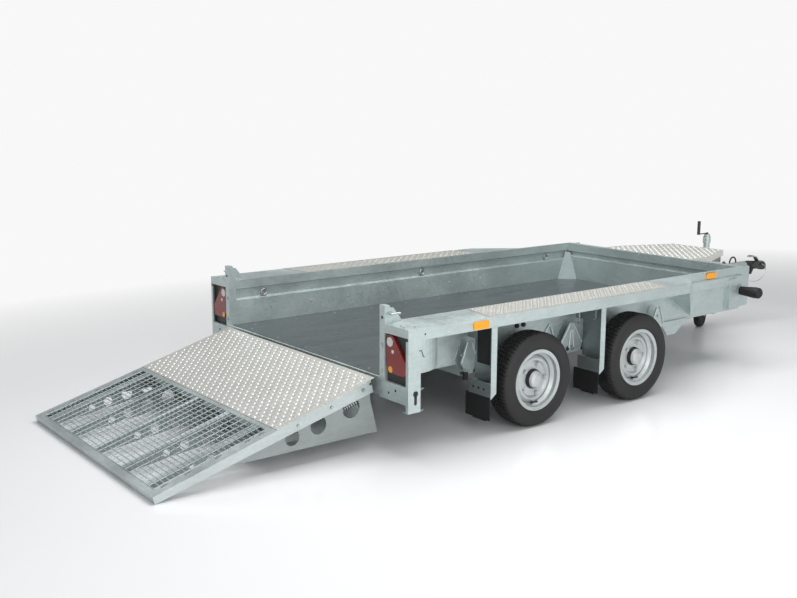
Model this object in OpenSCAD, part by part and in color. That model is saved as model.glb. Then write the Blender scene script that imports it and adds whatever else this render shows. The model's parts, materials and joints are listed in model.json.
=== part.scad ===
// Plant trailer: a twin-axle galvanised flatbed with low sides and a full-width tail ramp.
// The modules are written in the bed's own frame: x runs forward from the bed's rear face,
// y runs to the left from the middle, z runs up from the ground.

/* [Bed] */
// Inside length of the bed
bed_length = 3040; // [2800:10:3600]
// Height of the deck's top above the ground
deck_z = 383; // [376:1:400]
// Thickness of the deck board
deck_t = 12; // [10:1:15]
// Height of the side walls' top above the ground
wall_top = 660; // [640:5:700]
// Thickness of the folded steel sheets
sheet = 3; // [2:0.5:4]
// Depth of the lashing groove pressed into the walls
groove_depth = 18; // [12:1:20]
// Overall width over the running boards
overall_width = 2000; // [1996:2:2040]
// Width of each running board, from the bed's inner face to the trailer's side
board_width = 230; // [228:1:240]
// Depth of the running boards' outer fascia
fascia_h = 59; // [45:1:70]
// Length of the running boards along their outer edge
board_length = 2205; // [2180:5:2300]
// Length by which each running board narrows towards the wall
board_taper = 338; // [250:2:380]

/* [Wheels] */
// Distance from the bed's rear face to the rear axle
rear_axle_x = 915; // [890:5:930]
// Distance between the axles
axle_spacing = 847; // [840:1:870]
// Radius of the tyres
tyre_r = 261; // [255:1:265]
// Width of the tyres
tyre_w = 155; // [145:1:157]
// Distance from the trailer's side to the middle of each tyre
tyre_inset = 80; // [78:1:82]
// Radius of the rim flanges
rim_r = 170; // [165:1:176]
// Width over the rim flanges
rim_w = 124; // [112:1:126]
// Pitch circle diameter of the wheel nuts
nut_pcd = 165; // [155:1:170]
// Number of wheel nuts
nut_count = 5; // [4:1:6]

/* [Suspension] */
// Side of the square axle beams
axle_beam = 50; // [40:2:54]
// Width of the leaf springs
leaf_w = 40; // [36:1:42]
// Thickness of one spring leaf
leaf_t = 8; // [6:1:9]
// Distance from an axle to the eye at each end of its spring
spring_half = 364; // [350:2:370]

/* [Ramp] */
// Distance from the hinge pin to the ramp's tip
ramp_reach = 1222; // [1180:2:1260]
// Gap between the ramp and each of the rear posts
ramp_gap = 15; // [15:1:30]
// Length of the tread plate behind the hinge pin
tread_length = 561; // [480:1:640]
// Depth of the ramp's edge at its tip
tip_depth = 40; // [34:1:50]
// Depth of the ramp's side channels at the hinge
channel_depth = 64; // [55:1:75]
// Height of the rib's level lower edge above the ground
rib_low_z = 88; // [80:1:110]
// Spacing of the bars in the ramp's mesh
mesh_pitch = 45; // [40:1:60]
// Width of the bars in the ramp's mesh
mesh_bar = 6; // [4:1:8]
// Radius of the hinge pins
pin_r = 8; // [6:0.5:9]

/* [Drawbar] */
// Distance from the bed's front to the coupling's nose
drawbar_reach = 1556; // [1540:2:1600]
// Half distance between the drawbar's beams at the bed's front
drawbar_spread = 470; // [440:2:500]
// Height of the coupling's shaft above the ground
shaft_z = 455; // [450:1:460]
// Radius of the coupling's ball socket
socket_r = 25.5; // [25:0.1:26]
// Half width of the bucket rest at its front edge
rest_front_half = 231; // [200:1:260]
// Distance from the coupling's nose back to the jockey wheel's stem
jockey_back = 684; // [676:2:716]
// Height of the jockey wheel's outer tube above the ground
jockey_top = 736; // [700:2:760]
// Radius of the jockey wheel
jockey_r = 100; // [90:1:105]

/* [Hidden] */

// Colours as the photo shows them
galvanised = [0.74, 0.78, 0.78];
tread_grey = [0.80, 0.80, 0.77];
deck_grey = [0.33, 0.36, 0.36];
black = [0.06, 0.06, 0.06];
lamp_red = [0.50, 0.10, 0.10];
orange = [0.96, 0.65, 0.08];
white = [0.88, 0.90, 0.90];

// Clearance between pieces that seat on each other
seat = 0.3;
// Radial clearance of a pin in its bore
pin_gap = 0.06;

// Places worked out from the driving sizes
half_out = overall_width / 2;
half_in = half_out - board_width;
nose_x = bed_length + drawbar_reach;
jockey_x = nose_x - jockey_back;
wall_out = half_in + sheet;
deck_under = deck_z - deck_t;
groove_low = wall_top - 115;
groove_high = wall_top - 58;
wall_flange = 20;
board_y = half_in + wall_flange;
axle_z = tyre_r;
axle_xs = [rear_axle_x, rear_axle_x + axle_spacing];
mid_axle_x = (axle_xs[0] + axle_xs[1]) / 2;
tyre_y = half_out - tyre_inset;
spring_y = wall_out + 31;
spring_low = axle_z + axle_beam / 2;
eye_z = spring_low + 58;
leaf_count = 3;
leaf_sweep = 30;
hanger_top = 500;
clear_y = spring_y + leaf_w / 2 + 6.5;
flap_xs = [for (x = axle_xs) x - tyre_r - 62];

// Steps of the rear frame
post_w = 42;
post_top = wall_top + 92;
post_low = 281;
outer_post_low = 241;
outer_post_x = 78;

// The ramp hinges on a pin behind the bed and lies with its tip on the ground
pin_x = -45;
pin_z = deck_z - 33.4;
surface_over_pin = 20;
plate_t = 3;
root_overhang = 34;
tip_arm = tip_depth - surface_over_pin;
ramp_angle = asin(pin_z / sqrt(pow(ramp_reach, 2) + pow(tip_arm, 2))) - atan(tip_arm / ramp_reach);
ramp_half = half_in - ramp_gap;
flange_top = surface_over_pin - plate_t;
knuckle_r = 12;
knuckle_half = 15;
rib_t = 4;
rib_y = ramp_half - 145;
hinged_rib_ys = [-rib_y, -0.55 * rib_y, 0.55 * rib_y, rib_y];
rib_ys = concat(hinged_rib_ys, [0]);
gusset_y = ramp_half - 15;
spring_x = -200;
spring_coils = 9;
spring_pitch = 15;
spring_drop = -72;
mesh_half = ramp_half - 65;

// The trailer's ends, and the shift that puts the origin under the middle of its box
tip_x = pin_x - ramp_reach * cos(ramp_angle) - flange_top * sin(ramp_angle);
shift_x = -(tip_x + nose_x) / 2;

// Steps of the front
head_depth = 52;
cheek_x = bed_length + head_depth - 9;
gusset_foot = 110;
rest_z = wall_top + sheet;
rest_rear_x = bed_length + 20;
rest_front_x = bed_length + 636;
rest_half = drawbar_spread - 55;
beam_low = deck_under - 76;
beam_high = deck_under - 6;
beam_w = 50;
drawbar_half = 50;
apex_back = 836;
lever_back = 536;
housing_length = 325;
drawbar_end_x = nose_x - 286;
housing_x = drawbar_end_x - housing_length;
housing_r = 40;
ball_r = 40;
ball_x = nose_x - ball_r;
ball_z = shaft_z - 18;
jockey_y = 90;
jockey_tube_r = 24;
leg_r = 20;
jockey_trail = 70;
jockey_turn = 20;
fork_top = 2 * jockey_r + 25;
fork_half = 34;
arm_t = 5;

// Route of the breakaway cable, from the lug on the coupling head to the drawbar's side
cable_steps = [[-86, -38, 0], [-85, -50, -1], [-83, -62, -7], [-83, -72, -20], [-88, -78, -39],
    [-100, -81, -61], [-118, -82, -83], [-142, -81, -102], [-170, -79, -116], [-200, -76, -123],
    [-230, -72, -125], [-256, -67, -123], [-278, -62, -119], [-292, -57, -115], [-298, -52, -113]];
breakaway_route = [for (p = cable_steps) p + [nose_x, 0, shaft_z]];

function unit(v) = v / norm(v);
function across(v) = [-v.y, v.x];

// Mitred corner of a folded sheet at point i of its path, d to the left of the path
function sheet_corner(path, i, d) =
    let (n = len(path),
        a = across(unit(i > 0 ? path[i] - path[i - 1] : path[1] - path[0])),
        b = across(unit(i < n - 1 ? path[i + 1] - path[i] : path[i] - path[i - 1])),
        m = a + b)
    path[i] + m * 2 * d / (m * m);

// Outline of a sheet folded along a path, with its thickness t to the left
function folded(path, t = sheet) =
    concat(path, [for (i = [len(path) - 1 : -1 : 0]) sheet_corner(path, i, t)]);

// Arc of radius r that rounds corner b between a and c
function corner_arc(a, b, c, r, steps = 5) =
    let (u = unit(a - b), v = unit(c - b), half = acos(u * v) / 2,
        centre = b + unit(u + v) * r / sin(half),
        p = b + u * r / tan(half) - centre, q = b + v * r / tan(half) - centre,
        start = atan2(p.y, p.x), turn = atan2(q.y, q.x) - start,
        sweep = turn > 180 ? turn - 360 : turn < -180 ? turn + 360 : turn)
    [for (k = [0 : steps]) centre + r * [cos(start + sweep * k / steps), sin(start + sweep * k / steps)]];

// Closed outline with every corner rounded to its own radius: rows are [x, y, radius]
function rounded(rows) =
    let (n = len(rows), at = function (i) [rows[(i + n) % n].x, rows[(i + n) % n].y])
    [for (i = [0 : n - 1]) each rows[i].z > 0
        ? corner_arc(at(i - 1), at(i), at(i + 1), rows[i].z) : [at(i)]];

// The whole part is written in the bed's frame and shifted to its own origin
module placed() {
    translate([shift_x, 0, 0]) children();
}

// A yz outline that runs along x
module along_x(x0, x1) {
    translate([x0, 0, 0]) rotate([90, 0, 90]) linear_extrude(x1 - x0) children();
}

// An xz outline that runs along y
module along_y(y0, y1) {
    translate([0, y1, 0]) rotate([90, 0, 0]) linear_extrude(y1 - y0) children();
}

// An xy outline that runs up
module upward(z0, z1) {
    translate([0, 0, z0]) linear_extrude(z1 - z0) children();
}

module block(low, high) {
    translate(low) cube(high - low);
}

// A round bar along y
module bar_y(x, z, y0, y1, r) {
    translate([x, y1, z]) rotate([90, 0, 0]) cylinder(r = r, h = y1 - y0, $fn = 32);
}

// A round bar along x
module bar_x(y, z, x0, x1, r) {
    translate([x0, y, z]) rotate([0, 90, 0]) cylinder(r = r, h = x1 - x0, $fn = 32);
}

module both_sides() {
    children();
    mirror([0, 1, 0]) children();
}

// Inner face of a side wall, from the deck's underside up to the top flange
wall_path = [[half_in - 50, deck_under], [half_in, deck_under], [half_in, groove_low - 10],
    [half_in + groove_depth, groove_low], [half_in + groove_depth, groove_high - 4],
    [half_in, groove_high + 4], [half_in, wall_top - sheet], [half_in, wall_top],
    [board_y, wall_top]];

// Everything inboard of the left wall's outer face, with a clearance c
function inboard(c) =
    let (n = len(wall_path) - 1)
    concat([[0, 0], [wall_out + c, 0]],
        [for (i = [1 : n - 2]) sheet_corner(wall_path, i, -sheet - c)],
        [[wall_out + c, 2 * wall_top], [0, 2 * wall_top]]);

// Steel chassis: long rails, cross members, and outriggers under the spring hangers
module chassis_frame() {
    rail_low = deck_under - 68;
    cross_low = deck_under - 34;
    cross_half = half_in - 72;
    rear = 60 + seat;
    front = bed_length + head_depth;
    rail_y = half_in - 270;
    cross_xs = bed_length * [0.05, 0.115, 0.24, 0.372, 0.508, 0.635, 0.763, 0.862, 0.954];
    outrigger_xs = [axle_xs[0] - spring_half, mid_axle_x, axle_xs[1] + spring_half];
    placed() color(galvanised) {
        for (y = rail_y * [-1, -0.33, 0.33, 1]) along_x(rear, front)
            polygon(folded([[y + 22, rail_low], [y - 22, rail_low], [y - 22, deck_under],
                [y + 22, deck_under]], -4));
        for (x = cross_xs) along_y(-cross_half, cross_half)
            polygon(folded([[x + 36, cross_low], [x, cross_low], [x, deck_under], [x + 36, deck_under]], -4));
        for (x = outrigger_xs) along_y(-wall_out, wall_out)
            polygon(folded([[x + 40, rail_low], [x - 20, rail_low], [x - 20, deck_under - sheet - seat],
                [x + 40, deck_under - sheet - seat]], -4));
        block([front - 6, 210 - half_in, beam_low], [front, half_in - 210, deck_under]);
    }
}

// Beam of the drawbar's frame between two points of the plan
module plan_beam(a, b, w, z0, z1) {
    d = unit(b - a);
    n = across(d) * w / 2;
    upward(z0, z1) polygon([a + n, a - n, b - n, b + n]);
}

// Two beams that converge from the chassis to the coupling, with the post of the bucket rest
module drawbar() {
    head = bed_length + head_depth + seat;
    apex = nose_x - apex_back;
    post_x = rest_front_x - 76;
    side_post = [bed_length + 145, rest_half - 43];
    placed() color(galvanised) {
        difference() {
            for (side = [-1, 1])
                plan_beam([head, side * drawbar_spread], [apex, side * 34], beam_w, beam_low, beam_high);
            block([head - beam_w, -half_in, 0], [head, half_in, wall_top]);
        }
        block([head, -drawbar_spread - 60, beam_low], [head + 8, drawbar_spread + 60, beam_high]);
        block([post_x, -drawbar_half, beam_low], [drawbar_end_x, drawbar_half, beam_high]);
        block([post_x, -25, beam_high - 1], [post_x + 50, 25, rest_z - sheet - seat]);
        both_sides() block([side_post.x, side_post.y, beam_high - 1],
            [side_post.x + 30, side_post.y + 18, rest_z - sheet - seat]);
    }
}

// Deck board with its front corners cut away behind the gussets
module deck_floor() {
    edge = half_in - seat;
    cut = gusset_foot + 2;
    placed() color(deck_grey) upward(deck_under, deck_z)
        polygon([[20, -edge], [bed_length - cut, -edge], [bed_length - seat, -edge + cut],
            [bed_length - seat, edge - cut], [bed_length - cut, edge], [20, edge]]);
}

// Side wall with its lashing groove, rolled from one sheet
module side_wall() {
    difference() {
        along_x(50 + seat, cheek_x) polygon(folded(wall_path, -sheet));
        block([50, 0, 0], [60 + seat, wall_out + 1, deck_under + seat]);
    }
}

module side_wall_left() {
    placed() color(galvanised) side_wall();
}

module side_wall_right() {
    placed() color(galvanised) mirror([0, 1, 0]) side_wall();
}

// Front board: a folded box section with a lip half way up its inner face
module headboard() {
    lip_z = wall_top - 100;
    face = bed_length;
    front = bed_length + head_depth;
    placed() color(galvanised) along_y(-half_in + seat, half_in - seat)
        polygon(folded([[face + 40, deck_under], [face, deck_under], [face, lip_z],
            [face + 14, lip_z + 10], [face + 14, wall_top - 66], [face, wall_top - 58],
            [face, wall_top], [front, wall_top], [front, wall_top - 70]], -sheet));
}

// Sloping plate across each front corner of the load bed
module corner_gussets() {
    foot = gusset_foot;
    top = 28;
    top_z = wall_top - 70;
    edge = half_in - seat;
    front = bed_length - seat;
    placed() color(galvanised) both_sides() polyhedron(
        points = [[front, edge, deck_under + seat], [front - foot, edge, deck_under + seat],
            [front, edge - foot, deck_under + seat], [front, edge, top_z],
            [front - top, edge, top_z], [front, edge - top, top_z]],
        faces = [[0, 1, 2], [3, 5, 4], [0, 3, 4, 1], [0, 2, 5, 3], [1, 4, 5, 2]]);
}

// Cheek plates that carry the walls forward past the front board, with a prop channel each
module front_cheeks() {
    low = deck_z;
    high = wall_top - 5;
    channel_x = bed_length - 110;
    channel_w = 120;
    placed() color(galvanised) both_sides() {
        along_y(half_in, wall_out)
            polygon(rounded([[cheek_x + seat, low, 0], [cheek_x + 99, low, 18],
                [cheek_x + 99, high, 10], [cheek_x + seat, high, 0]]));
        difference() {
            upward(low, wall_top - 70) polygon(folded([
                [channel_x - 25, wall_out + seat], [channel_x, wall_out + seat],
                [channel_x, wall_out + 24], [channel_x + channel_w - 40, wall_out + 24],
                [channel_x + channel_w - 40, wall_out + seat],
                [channel_x + channel_w, wall_out + seat]], sheet));
            along_x(0, bed_length + 100) polygon(inboard(seat));
        }
    }
}

// Rear frame: hinge beam, inner and outer posts, and the rails round the lamp bays
module rear_frame() {
    top_rail_low = wall_top - 43;
    ear_t = 8;
    ear_gap = 2;
    keyhole_x = 47;
    foot_x = outer_post_x + 37;
    placed() color(galvanised) {
        along_y(-half_in - post_w, half_in + post_w)
            polygon(folded([[60, 290], [0, 290], [0, deck_under], [60, deck_under]], -4));
        block([0, -half_in, deck_under], [14, half_in, deck_z]);
        both_sides() {
            along_y(half_in, half_in + post_w)
                polygon([[0, post_low], [50, post_low], [50, post_top - 34], [28, post_top], [0, post_top]]);
            along_y(half_in + 25, half_in + 28)
                polygon([[49, wall_top + 3], [120, wall_top + 3], [64, post_top - 18], [49, post_top - 18]]);
            along_y(half_in + post_w - 1, half_out - sheet - seat)
                polygon(folded([[40, top_rail_low], [0, top_rail_low], [0, wall_top - sheet],
                    [40, wall_top - sheet]], -sheet));
            along_y(half_in + post_w - 1, half_out)
                polygon(folded([[40, post_low], [0, post_low], [0, 372], [40, 372]], -sheet));
            difference() {
                upward(outer_post_low, wall_top - fascia_h)
                    polygon(folded([[0, half_out - 19], [0, half_out], [outer_post_x, half_out]], -sheet));
                bar_y(keyhole_x, 336, half_out - 10, half_out + 10, 16);
                block([keyhole_x - 9, half_out - 10, 288], [keyhole_x + 9, half_out + 10, 336]);
                bar_y(keyhole_x, 288, half_out - 10, half_out + 10, 9);
            }
            for (z = [outer_post_low, 350]) upward(z, z + 4)
                polygon([[outer_post_x - 4, half_out - 45], [outer_post_x - 4, half_out],
                    [outer_post_x, half_out], [foot_x, half_out - 20], [outer_post_x, half_out - 45]]);
            for (z = [outer_post_low, 350])
                block([2, half_out - 45, z], [outer_post_x, half_out - 1, z + 4]);
        }
        for (y = hinged_rib_ys, side = [-1, 1])
            hinge_ear(y + side * (knuckle_half + ear_gap + ear_t / 2), ear_t);
    }
}

// Ear that carries a hinge pin: it drops below the pin so that the raised ramp clears it
module hinge_ear(y, t) {
    foot_z = 290;
    leg = 11;
    difference() {
        union() {
            bar_y(pin_x, pin_z, y - t / 2, y + t / 2, knuckle_r);
            block([pin_x - leg, y - t / 2, foot_z], [pin_x + leg - 1, y + t / 2, pin_z]);
            block([pin_x - leg, y - t / 2, foot_z], [1, y + t / 2, foot_z + 13]);
        }
        bar_y(pin_x, pin_z, y - t, y + t, pin_r);
    }
}

// Pins of the ramp's hinges
module hinge_pins() {
    reach = knuckle_half + 14;
    placed() color([0.6, 0.62, 0.62]) for (y = hinged_rib_ys)
        bar_y(pin_x, pin_z, y - reach, y + reach, pin_r - 0.04);
}

// Latch pin with its grip on each inner post
module ramp_latches() {
    z = post_top - 40;
    y = half_in + post_w + seat;
    placed() color([0.62, 0.64, 0.64]) both_sides() {
        bar_y(25, z, y, y + 34, 7);
        bar_x(y + 34, z, 12, 70, 6);
    }
}

// Running board: a flat top, a fascia and the raked panel that closes its front end
module running_board() {
    front_x = board_length + board_taper;
    rake = [front_x - board_length, wall_out - half_out];
    long = norm(rake);
    turn = atan2(rake.y, rake.x);
    inner_front = board_length + board_taper * (half_out - board_y - seat) / (half_out - wall_out);
    upward(wall_top - sheet, wall_top)
        polygon([[0, half_in + post_w + seat], [50 + seat, half_in + post_w + seat],
            [50 + seat, board_y + seat], [inner_front, board_y + seat], [board_length, half_out],
            [0, half_out]]);
    upward(wall_top - fascia_h, wall_top - sheet)
        polygon([[0, half_out - sheet], [board_length, half_out - sheet], [board_length, half_out],
            [0, half_out]]);
    difference() {
        intersection() {
            translate([board_length, half_out, 0]) rotate([0, 0, turn]) rotate([90, 0, 0])
                linear_extrude(sheet)
                polygon([[-3, wall_top - fascia_h], [long, deck_z], [long, wall_top - 1],
                    [-3, wall_top - 1]]);
            block([board_length - 2, wall_out, 0], [front_x, half_out, wall_top]);
        }
        along_x(0, bed_length) polygon(inboard(seat));
        block([board_length, 0, wall_top - sheet - seat], [front_x, board_y + seat, wall_top]);
    }
}

module running_board_left() {
    placed() color(galvanised) running_board();
}

module running_board_right() {
    placed() color(galvanised) mirror([0, 1, 0]) running_board();
}

// Patterned aluminium covers on the running boards
module tread_covers() {
    rear = 527;
    front = board_length - 195;
    slant = 55;
    placed() color(tread_grey) both_sides() upward(wall_top, wall_top + 2)
        polygon([[rear, half_out - 1], [rear + slant, half_in + 4], [front + slant, half_in + 4],
            [front, half_out - 1]]);
}

// Panel behind each wheel, with its outer flange, its bar and the closing panel of the front arch
module mudguard() {
    flange = 40;
    low = axle_z - 46;
    bar = [axle_z - 36, axle_z + 39];
    top = wall_top - sheet - seat;
    edge = half_out - sheet - seat;
    difference() {
        union() {
            for (x = flap_xs) {
                along_x(x - sheet, x) polygon([[wall_out, hanger_top + 10], [wall_out, top], [edge, top],
                    [edge, low + 28], [clear_y, low + 28], [clear_y, hanger_top + 10]]);
                along_y(edge - sheet, edge)
                    polygon([[x - flange, low], [x, low + 28], [x, top], [x - flange, top]]);
                block([x - flange, clear_y, bar[0]], [x - flange + 6, edge - sheet + 1, bar[1]]);
                for (y = [clear_y + 12, edge - 30])
                    block([x - flange, y, bar[1] - 20], [x - sheet + 1, y + 8, bar[1]]);
            }
            intersection() {
                along_y(wall_out, edge) polygon(folded([[board_length - 6, wall_top - fascia_h],
                    [board_length + board_taper, deck_z]], sheet));
                upward(0, wall_top) polygon([[board_length - 6, wall_out], [board_length - 6, edge],
                    [board_length - 2, edge], [board_length + board_taper - 6, wall_out]]);
            }
        }
        along_x(0, bed_length) polygon(inboard(seat));
    }
}

module mudguard_left() {
    placed() color(galvanised) mudguard();
}

module mudguard_right() {
    placed() color(galvanised) mirror([0, 1, 0]) mudguard();
}

// Sheet that curves from each outer post in to the wall behind the rear wheel
module rear_wings() {
    r = half_out - wall_out - seat;
    steps = 12;
    x0 = outer_post_x + seat;
    path = [for (k = [0 : steps]) [x0 + r * sin(90 * k / steps), wall_out + seat + r * cos(90 * k / steps)]];
    placed() color(galvanised) both_sides() difference() {
        upward(436, wall_top - fascia_h - seat) polygon(folded(path, -sheet));
        along_x(0, bed_length) polygon(inboard(seat));
    }
}

// Rubber flaps that hang behind the wheels
module mud_flaps() {
    placed() color(black) both_sides() for (x = flap_xs)
        block([x - 34 + seat, clear_y + 24, axle_z - 171], [x - 29, half_out - 45, axle_z + 19]);
}

// Black panels recessed in the lamp bays
module lamp_panels() {
    inner = half_in + post_w + seat;
    outer = half_out - sheet - seat;
    placed() color(black) both_sides() along_x(18, 22)
        polygon([[inner, 372 + seat], [outer, 372 + seat], [outer, wall_top - 43 - seat],
            [inner, wall_top - 43 - seat]]);
}

// Tall tail lamps that lean outwards at their foot
module tail_lamps() {
    inner = half_in + 53;
    outer = half_out - 19;
    low = 420;
    high = wall_top - 50;
    outline = rounded([[inner, low + 26, 22], [inner + 50, low, 26], [outer, low - 2, 30],
        [outer - 2, low + 60, 40], [inner + 50, high, 24], [inner, high, 24]]);
    reverse_y = inner + 26;
    reverse_z = high - 34;
    placed() color(lamp_red) both_sides() difference() {
        along_x(4, 18 - seat) polygon(outline);
        bar_x(reverse_y, reverse_z, 0, 30, 24);
    }
}

// Round reversing lamps at the top of the tail lamps
module reverse_lamps() {
    placed() color(white) both_sides() bar_x(half_in + 79, wall_top - 84, 3, 18 - seat, 24 - seat);
}

// Orange marker lamps: one on each fascia and one on each front wall
module side_markers() {
    // Rows are [x of the middle, height of the middle, y of the face behind it]
    marks = [[472, wall_top - 34, half_out + seat], [bed_length - 300, wall_top - 30, wall_out + seat]];
    placed() color(orange) both_sides() for (m = marks)
        along_y(m[2], m[2] + 8)
            polygon(rounded([[m.x - 52, m.y - 20, 12], [m.x + 52, m.y - 20, 12],
                [m.x + 52, m.y + 20, 12], [m.x - 52, m.y + 20, 12]]));
}

// Rubber-armed marker lamps at the front corners
module corner_lamps() {
    x = bed_length + 60;
    z = deck_z + 107;
    // Rows are [distance from the wall's face, radius]
    stem = [[seat, 0], [seat, 29], [50, 33], [110, 38], [140, 36], [150, 26], [150, 0]];
    placed() color(black) both_sides() translate([x, wall_out, z]) rotate([-90, 0, 0])
        rotate_extrude($fn = 24) polygon([for (s = stem) [s[1], s[0]]]);
}

// Tray in front of the front board on which a digger's bucket rests
module bucket_rest() {
    skirt = 40;
    skirt_x = bed_length + head_depth + seat;
    lip = 99;
    rows = [[rest_rear_x, -rest_half, 0], [rest_rear_x + 180, -rest_half + 16, 300],
        [rest_front_x, -rest_front_half, 22], [rest_front_x, rest_front_half, 22],
        [rest_rear_x + 180, rest_half - 16, 300], [rest_rear_x, rest_half, 0]];
    side = rounded(rows);
    inset = rounded([for (i = [0 : 5]) let (s = i < 3 ? 1 : -1)
        [rows[i].x - (i == 2 || i == 3 ? sheet : i == 0 || i == 5 ? 1 : 0), rows[i].y + s * sheet,
            max(rows[i].z - sheet, 0)]]);
    placed() color(tread_grey) {
        upward(rest_z - sheet, rest_z) polygon(side);
        difference() {
            upward(rest_z - skirt, rest_z - sheet) polygon(side);
            upward(rest_z - skirt - 1, rest_z) polygon(inset);
            block([0, -rest_half - 1, 0], [skirt_x, rest_half + 1, rest_z]);
        }
        block([rest_front_x - sheet, -rest_front_half + 22, rest_z - lip],
            [rest_front_x, rest_front_half - 22, rest_z - sheet]);
    }
}

// Clamp and outer tube of the jockey wheel
module jockey_tube() {
    low = 321;
    placed() color(galvanised) translate([jockey_x, jockey_y, 0]) difference() {
        union() {
            translate([0, 0, low]) cylinder(r = jockey_tube_r, h = jockey_top - low, $fn = 40);
            translate([0, 0, jockey_top - 70]) cylinder(r = jockey_tube_r + 6, h = 50, $fn = 40);
            translate([0, 0, low]) cylinder(r = jockey_tube_r + 8, h = 44, $fn = 40);
            block([-30, drawbar_half + seat - jockey_y, low], [30, 0, low + 44]);
        }
        translate([0, 0, low - 1]) cylinder(r = leg_r + 0.4, h = jockey_top - low - 7, $fn = 40);
    }
}

// Crank of the jockey wheel with its upright grip
module jockey_crank() {
    top = jockey_top + seat;
    arm = 112;
    placed() color(black) {
        translate([jockey_x, jockey_y, top]) cylinder(r = 10, h = 12, $fn = 24);
        block([jockey_x - arm, jockey_y - 7, top + 4], [jockey_x, jockey_y + 7, top + 10]);
        translate([jockey_x - arm, jockey_y, top + 3]) cylinder(r = 12, h = 106, $fn = 24);
    }
}

// Inner tube of the jockey wheel, which winds up and down
module jockey_leg() {
    placed() color(galvanised) translate([jockey_x, jockey_y, fork_top + seat])
        cylinder(r = leg_r, h = 340, $fn = 40);
}

// The fork and its wheel trail behind the stem, turned a little to one side
module at_jockey() {
    placed() translate([jockey_x, jockey_y, 0]) rotate([0, 0, jockey_turn]) children();
}

// Swivelling fork of the jockey wheel
module jockey_fork() {
    plate_low = fork_top - 10;
    plate_t = 6;
    // Front and rear ends of the plate that joins the two arms
    ends = [-40, 28];
    wheel_x = -jockey_trail;
    at_jockey() color(galvanised) {
        translate([0, 0, plate_low + 1]) cylinder(r = leg_r, h = 9, $fn = 32);
        for (y = [-fork_half - arm_t, fork_half]) along_y(y, y + arm_t)
            polygon([[wheel_x - 14, jockey_r - 6], [wheel_x - 4, jockey_r - 14],
                [wheel_x + 10, jockey_r - 12], [ends[1], plate_low - 10],
                [ends[1], plate_low + plate_t], [ends[0], plate_low + plate_t]]);
        block([ends[0], -fork_half - 1, plate_low], [ends[1], fork_half + 1, plate_low + plate_t]);
        bar_y(wheel_x, jockey_r, -fork_half - arm_t - 6, fork_half + arm_t + 6, 8);
    }
}

// Solid-tyred wheel of the jockey
module jockey_wheel() {
    half = fork_half - 6;
    // Rows are [radius, half width]
    crown = [[8 + pin_gap, half], [22, half], [30, half - 6], [jockey_r - 34, half - 6],
        [jockey_r - 24, half], [jockey_r - 8, half - 2], [jockey_r, half - 12]];
    at_jockey() color(black) translate([-jockey_trail, 0, jockey_r]) rotate([90, 0, 0])
        rotate_extrude($fn = 48)
        polygon(concat(crown, [for (i = [len(crown) - 1 : -1 : 0]) [crown[i].x, -crown[i].y]]));
}

// Overrun device: a cast housing on the drawbar with its base flange
module coupling_housing() {
    front = drawbar_end_x - 5;
    tube_x = housing_x + 15;
    flange_top_z = beam_high + 10;
    placed() color(galvanised) difference() {
        union() {
            block([housing_x, -drawbar_half, beam_high], [front, drawbar_half, flange_top_z]);
            along_x(tube_x, front)
                polygon([[-44, flange_top_z - 1], [44, flange_top_z - 1], [36, shaft_z], [-36, shaft_z]]);
            bar_x(0, shaft_z, tube_x, front, housing_r);
        }
        bar_x(0, shaft_z, housing_x + 100, drawbar_end_x, 26);
    }
}

// Rubber bellows over the drawshaft
module bellows() {
    x0 = drawbar_end_x - 5 + seat;
    folds = 5;
    pitch = 15;
    placed() color(black) translate([x0, 0, shaft_z]) rotate([0, 90, 0]) rotate_extrude($fn = 32)
        polygon(concat([[0, 0]], [for (k = [0 : folds - 1]) each [[30, k * pitch], [38, k * pitch + 5],
            [38, k * pitch + 9], [30, k * pitch + 14]]], [[0, folds * pitch]]));
}

// Ball coupling head
module coupling_head() {
    rear = drawbar_end_x - 5 + 75 + 2 * seat;
    placed() color(black) difference() {
        union() {
            bar_x(0, shaft_z, rear, rear + 80, 30);
            translate([ball_x, 0, ball_z]) sphere(r = ball_r, $fn = 40);
            translate([ball_x, 0, ball_z - 22]) cylinder(r = ball_r, h = 22, $fn = 40);
            along_y(-30, 30) polygon([[rear + 30, shaft_z - 30], [ball_x, ball_z - 22],
                [ball_x, ball_z + 36], [rear + 30, shaft_z + 30]]);
            along_y(-8, 8) polygon([[rear + 36, shaft_z - 26], [rear + 66, shaft_z - 26],
                [rear + 34, shaft_z - 76], [rear + 14, shaft_z - 76]]);
            block([nose_x - 96, -37.7, shaft_z - 10], [nose_x - 76, -28, shaft_z + 10]);
        }
        translate([ball_x, 0, ball_z]) sphere(r = socket_r, $fn = 40);
        translate([ball_x, 0, ball_z - 60]) cylinder(r = socket_r, h = 60, $fn = 40);
    }
}

// Lifting handle of the coupling head
module coupling_handle() {
    rear = drawbar_end_x + 90;
    top = shaft_z + 86;
    path = [[rear - 20, top - 20], [rear + 10, top - 14], [rear + 56, top - 26],
        [rear + 96, shaft_z + 23.3], [rear + 132, shaft_z + 20.3]];
    placed() color([0.72, 0.75, 0.75]) along_y(-19, 19) polygon(folded(path, 8));
}

// Handbrake lever beside the overrun housing
module handbrake_lever() {
    y = -drawbar_half - 22;
    pivot = [nose_x - lever_back, beam_high + 34];
    length = 185;
    lean = 137;
    grip = 95;
    placed() color(black) {
        translate([pivot.x, y, pivot.y]) rotate([0, -lean, 0]) {
            block([-24, 0, -12], [length - grip + 10, 8, 12]);
            bar_x(4, 0, length - grip, length, 12);
        }
        bar_y(pivot.x, pivot.y, y, -42.8, 10);
    }
}

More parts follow.
